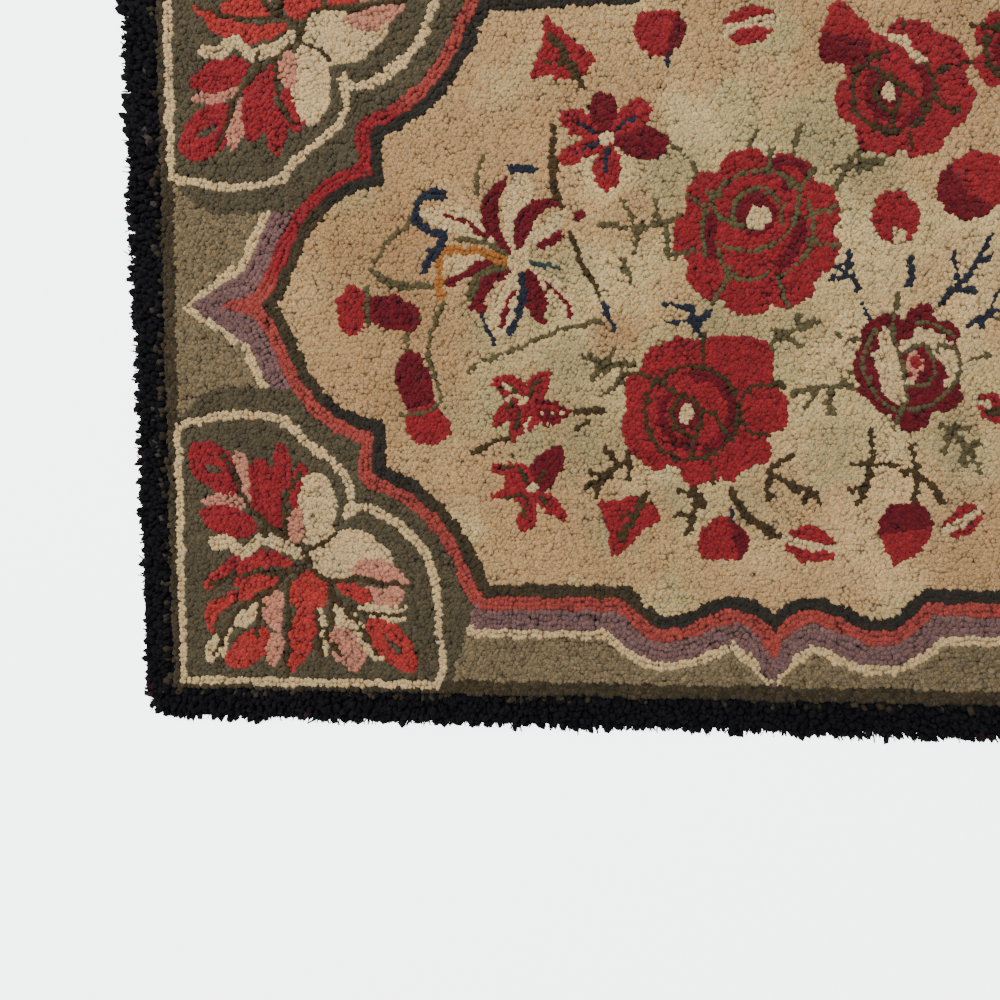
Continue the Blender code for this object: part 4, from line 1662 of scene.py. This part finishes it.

# %% [markdown]
# Each piece is tied to the rug's one body, and the solid that it stands for is hidden.

# %% Tie the pieces to the frame
for piece in hooked + [burlap]:
    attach(piece, "root")
    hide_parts("hooked_panel")
for name in STRIPS:
    for piece in (edging[name], strip_bases[name]):
        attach(piece, "root")
        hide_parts(f"shag_{name}")
print(len(hooked) + 1, "pieces for the panel,", 2 * len(STRIPS), "for the shag")

# %% [markdown]
# The floor is pale and glows a little, so the black edging stands out against it as it does on
# a sheet of white paper.

# %% Lay the floor
FLOOR_SIZE = 8.0
FLOOR_LOOK = {"Base Color": (0.80, 0.83, 0.86, 1), "Roughness": 0.85,
              "Emission Color": (0.97, 0.985, 1.0, 1), "Emission Strength": 4.2}
bpy.ops.object.select_all(action="DESELECT")
bpy.ops.mesh.primitive_plane_add(size=FLOOR_SIZE, location=(0, 0, 0))
floor = bpy.context.object
floor.name = "pale_floor"
floor_paint = bpy.data.materials.new("pale_floor")
floor_paint.use_nodes = True
set_sockets(floor_paint.node_tree, floor_paint.node_tree.nodes["Principled BSDF"], FLOOR_LOOK, {})
floor.data.materials.append(floor_paint)
print("floor", FLOOR_SIZE, "m wide")

# %% [markdown]
# Wide soft light shows wool best: hard light would turn each loop into a glittering dot. One
# large lamp hangs a little to the left, and the sky fills the rest.

# %% Set the light
LAMP_PLACE, LAMP_TILT = (-1.2, 1.0, 2.0), (-24, -29, 0)
LAMP_SIZE, LAMP_POWER = 1.7, 62
SKY_LOOK = {"Color": (0.95, 0.97, 1.0, 1), "Strength": 0.64}

lamp_data = bpy.data.lights.new("soft_lamp", "AREA")
lamp_data.shape = "RECTANGLE"
lamp_data.size, lamp_data.size_y = LAMP_SIZE, LAMP_SIZE
lamp_data.energy = LAMP_POWER
lamp = bpy.data.objects.new("soft_lamp", lamp_data)
lamp.location = LAMP_PLACE
lamp.rotation_euler = [math.radians(angle) for angle in LAMP_TILT]
bpy.context.scene.collection.objects.link(lamp)

sky = bpy.data.worlds.new("soft_sky")
sky.use_nodes = True
set_sockets(sky.node_tree, sky.node_tree.nodes["Background"], SKY_LOOK, {})
bpy.context.scene.world = sky
print("lamp of", lamp_data.energy, "W at", list(lamp.location))
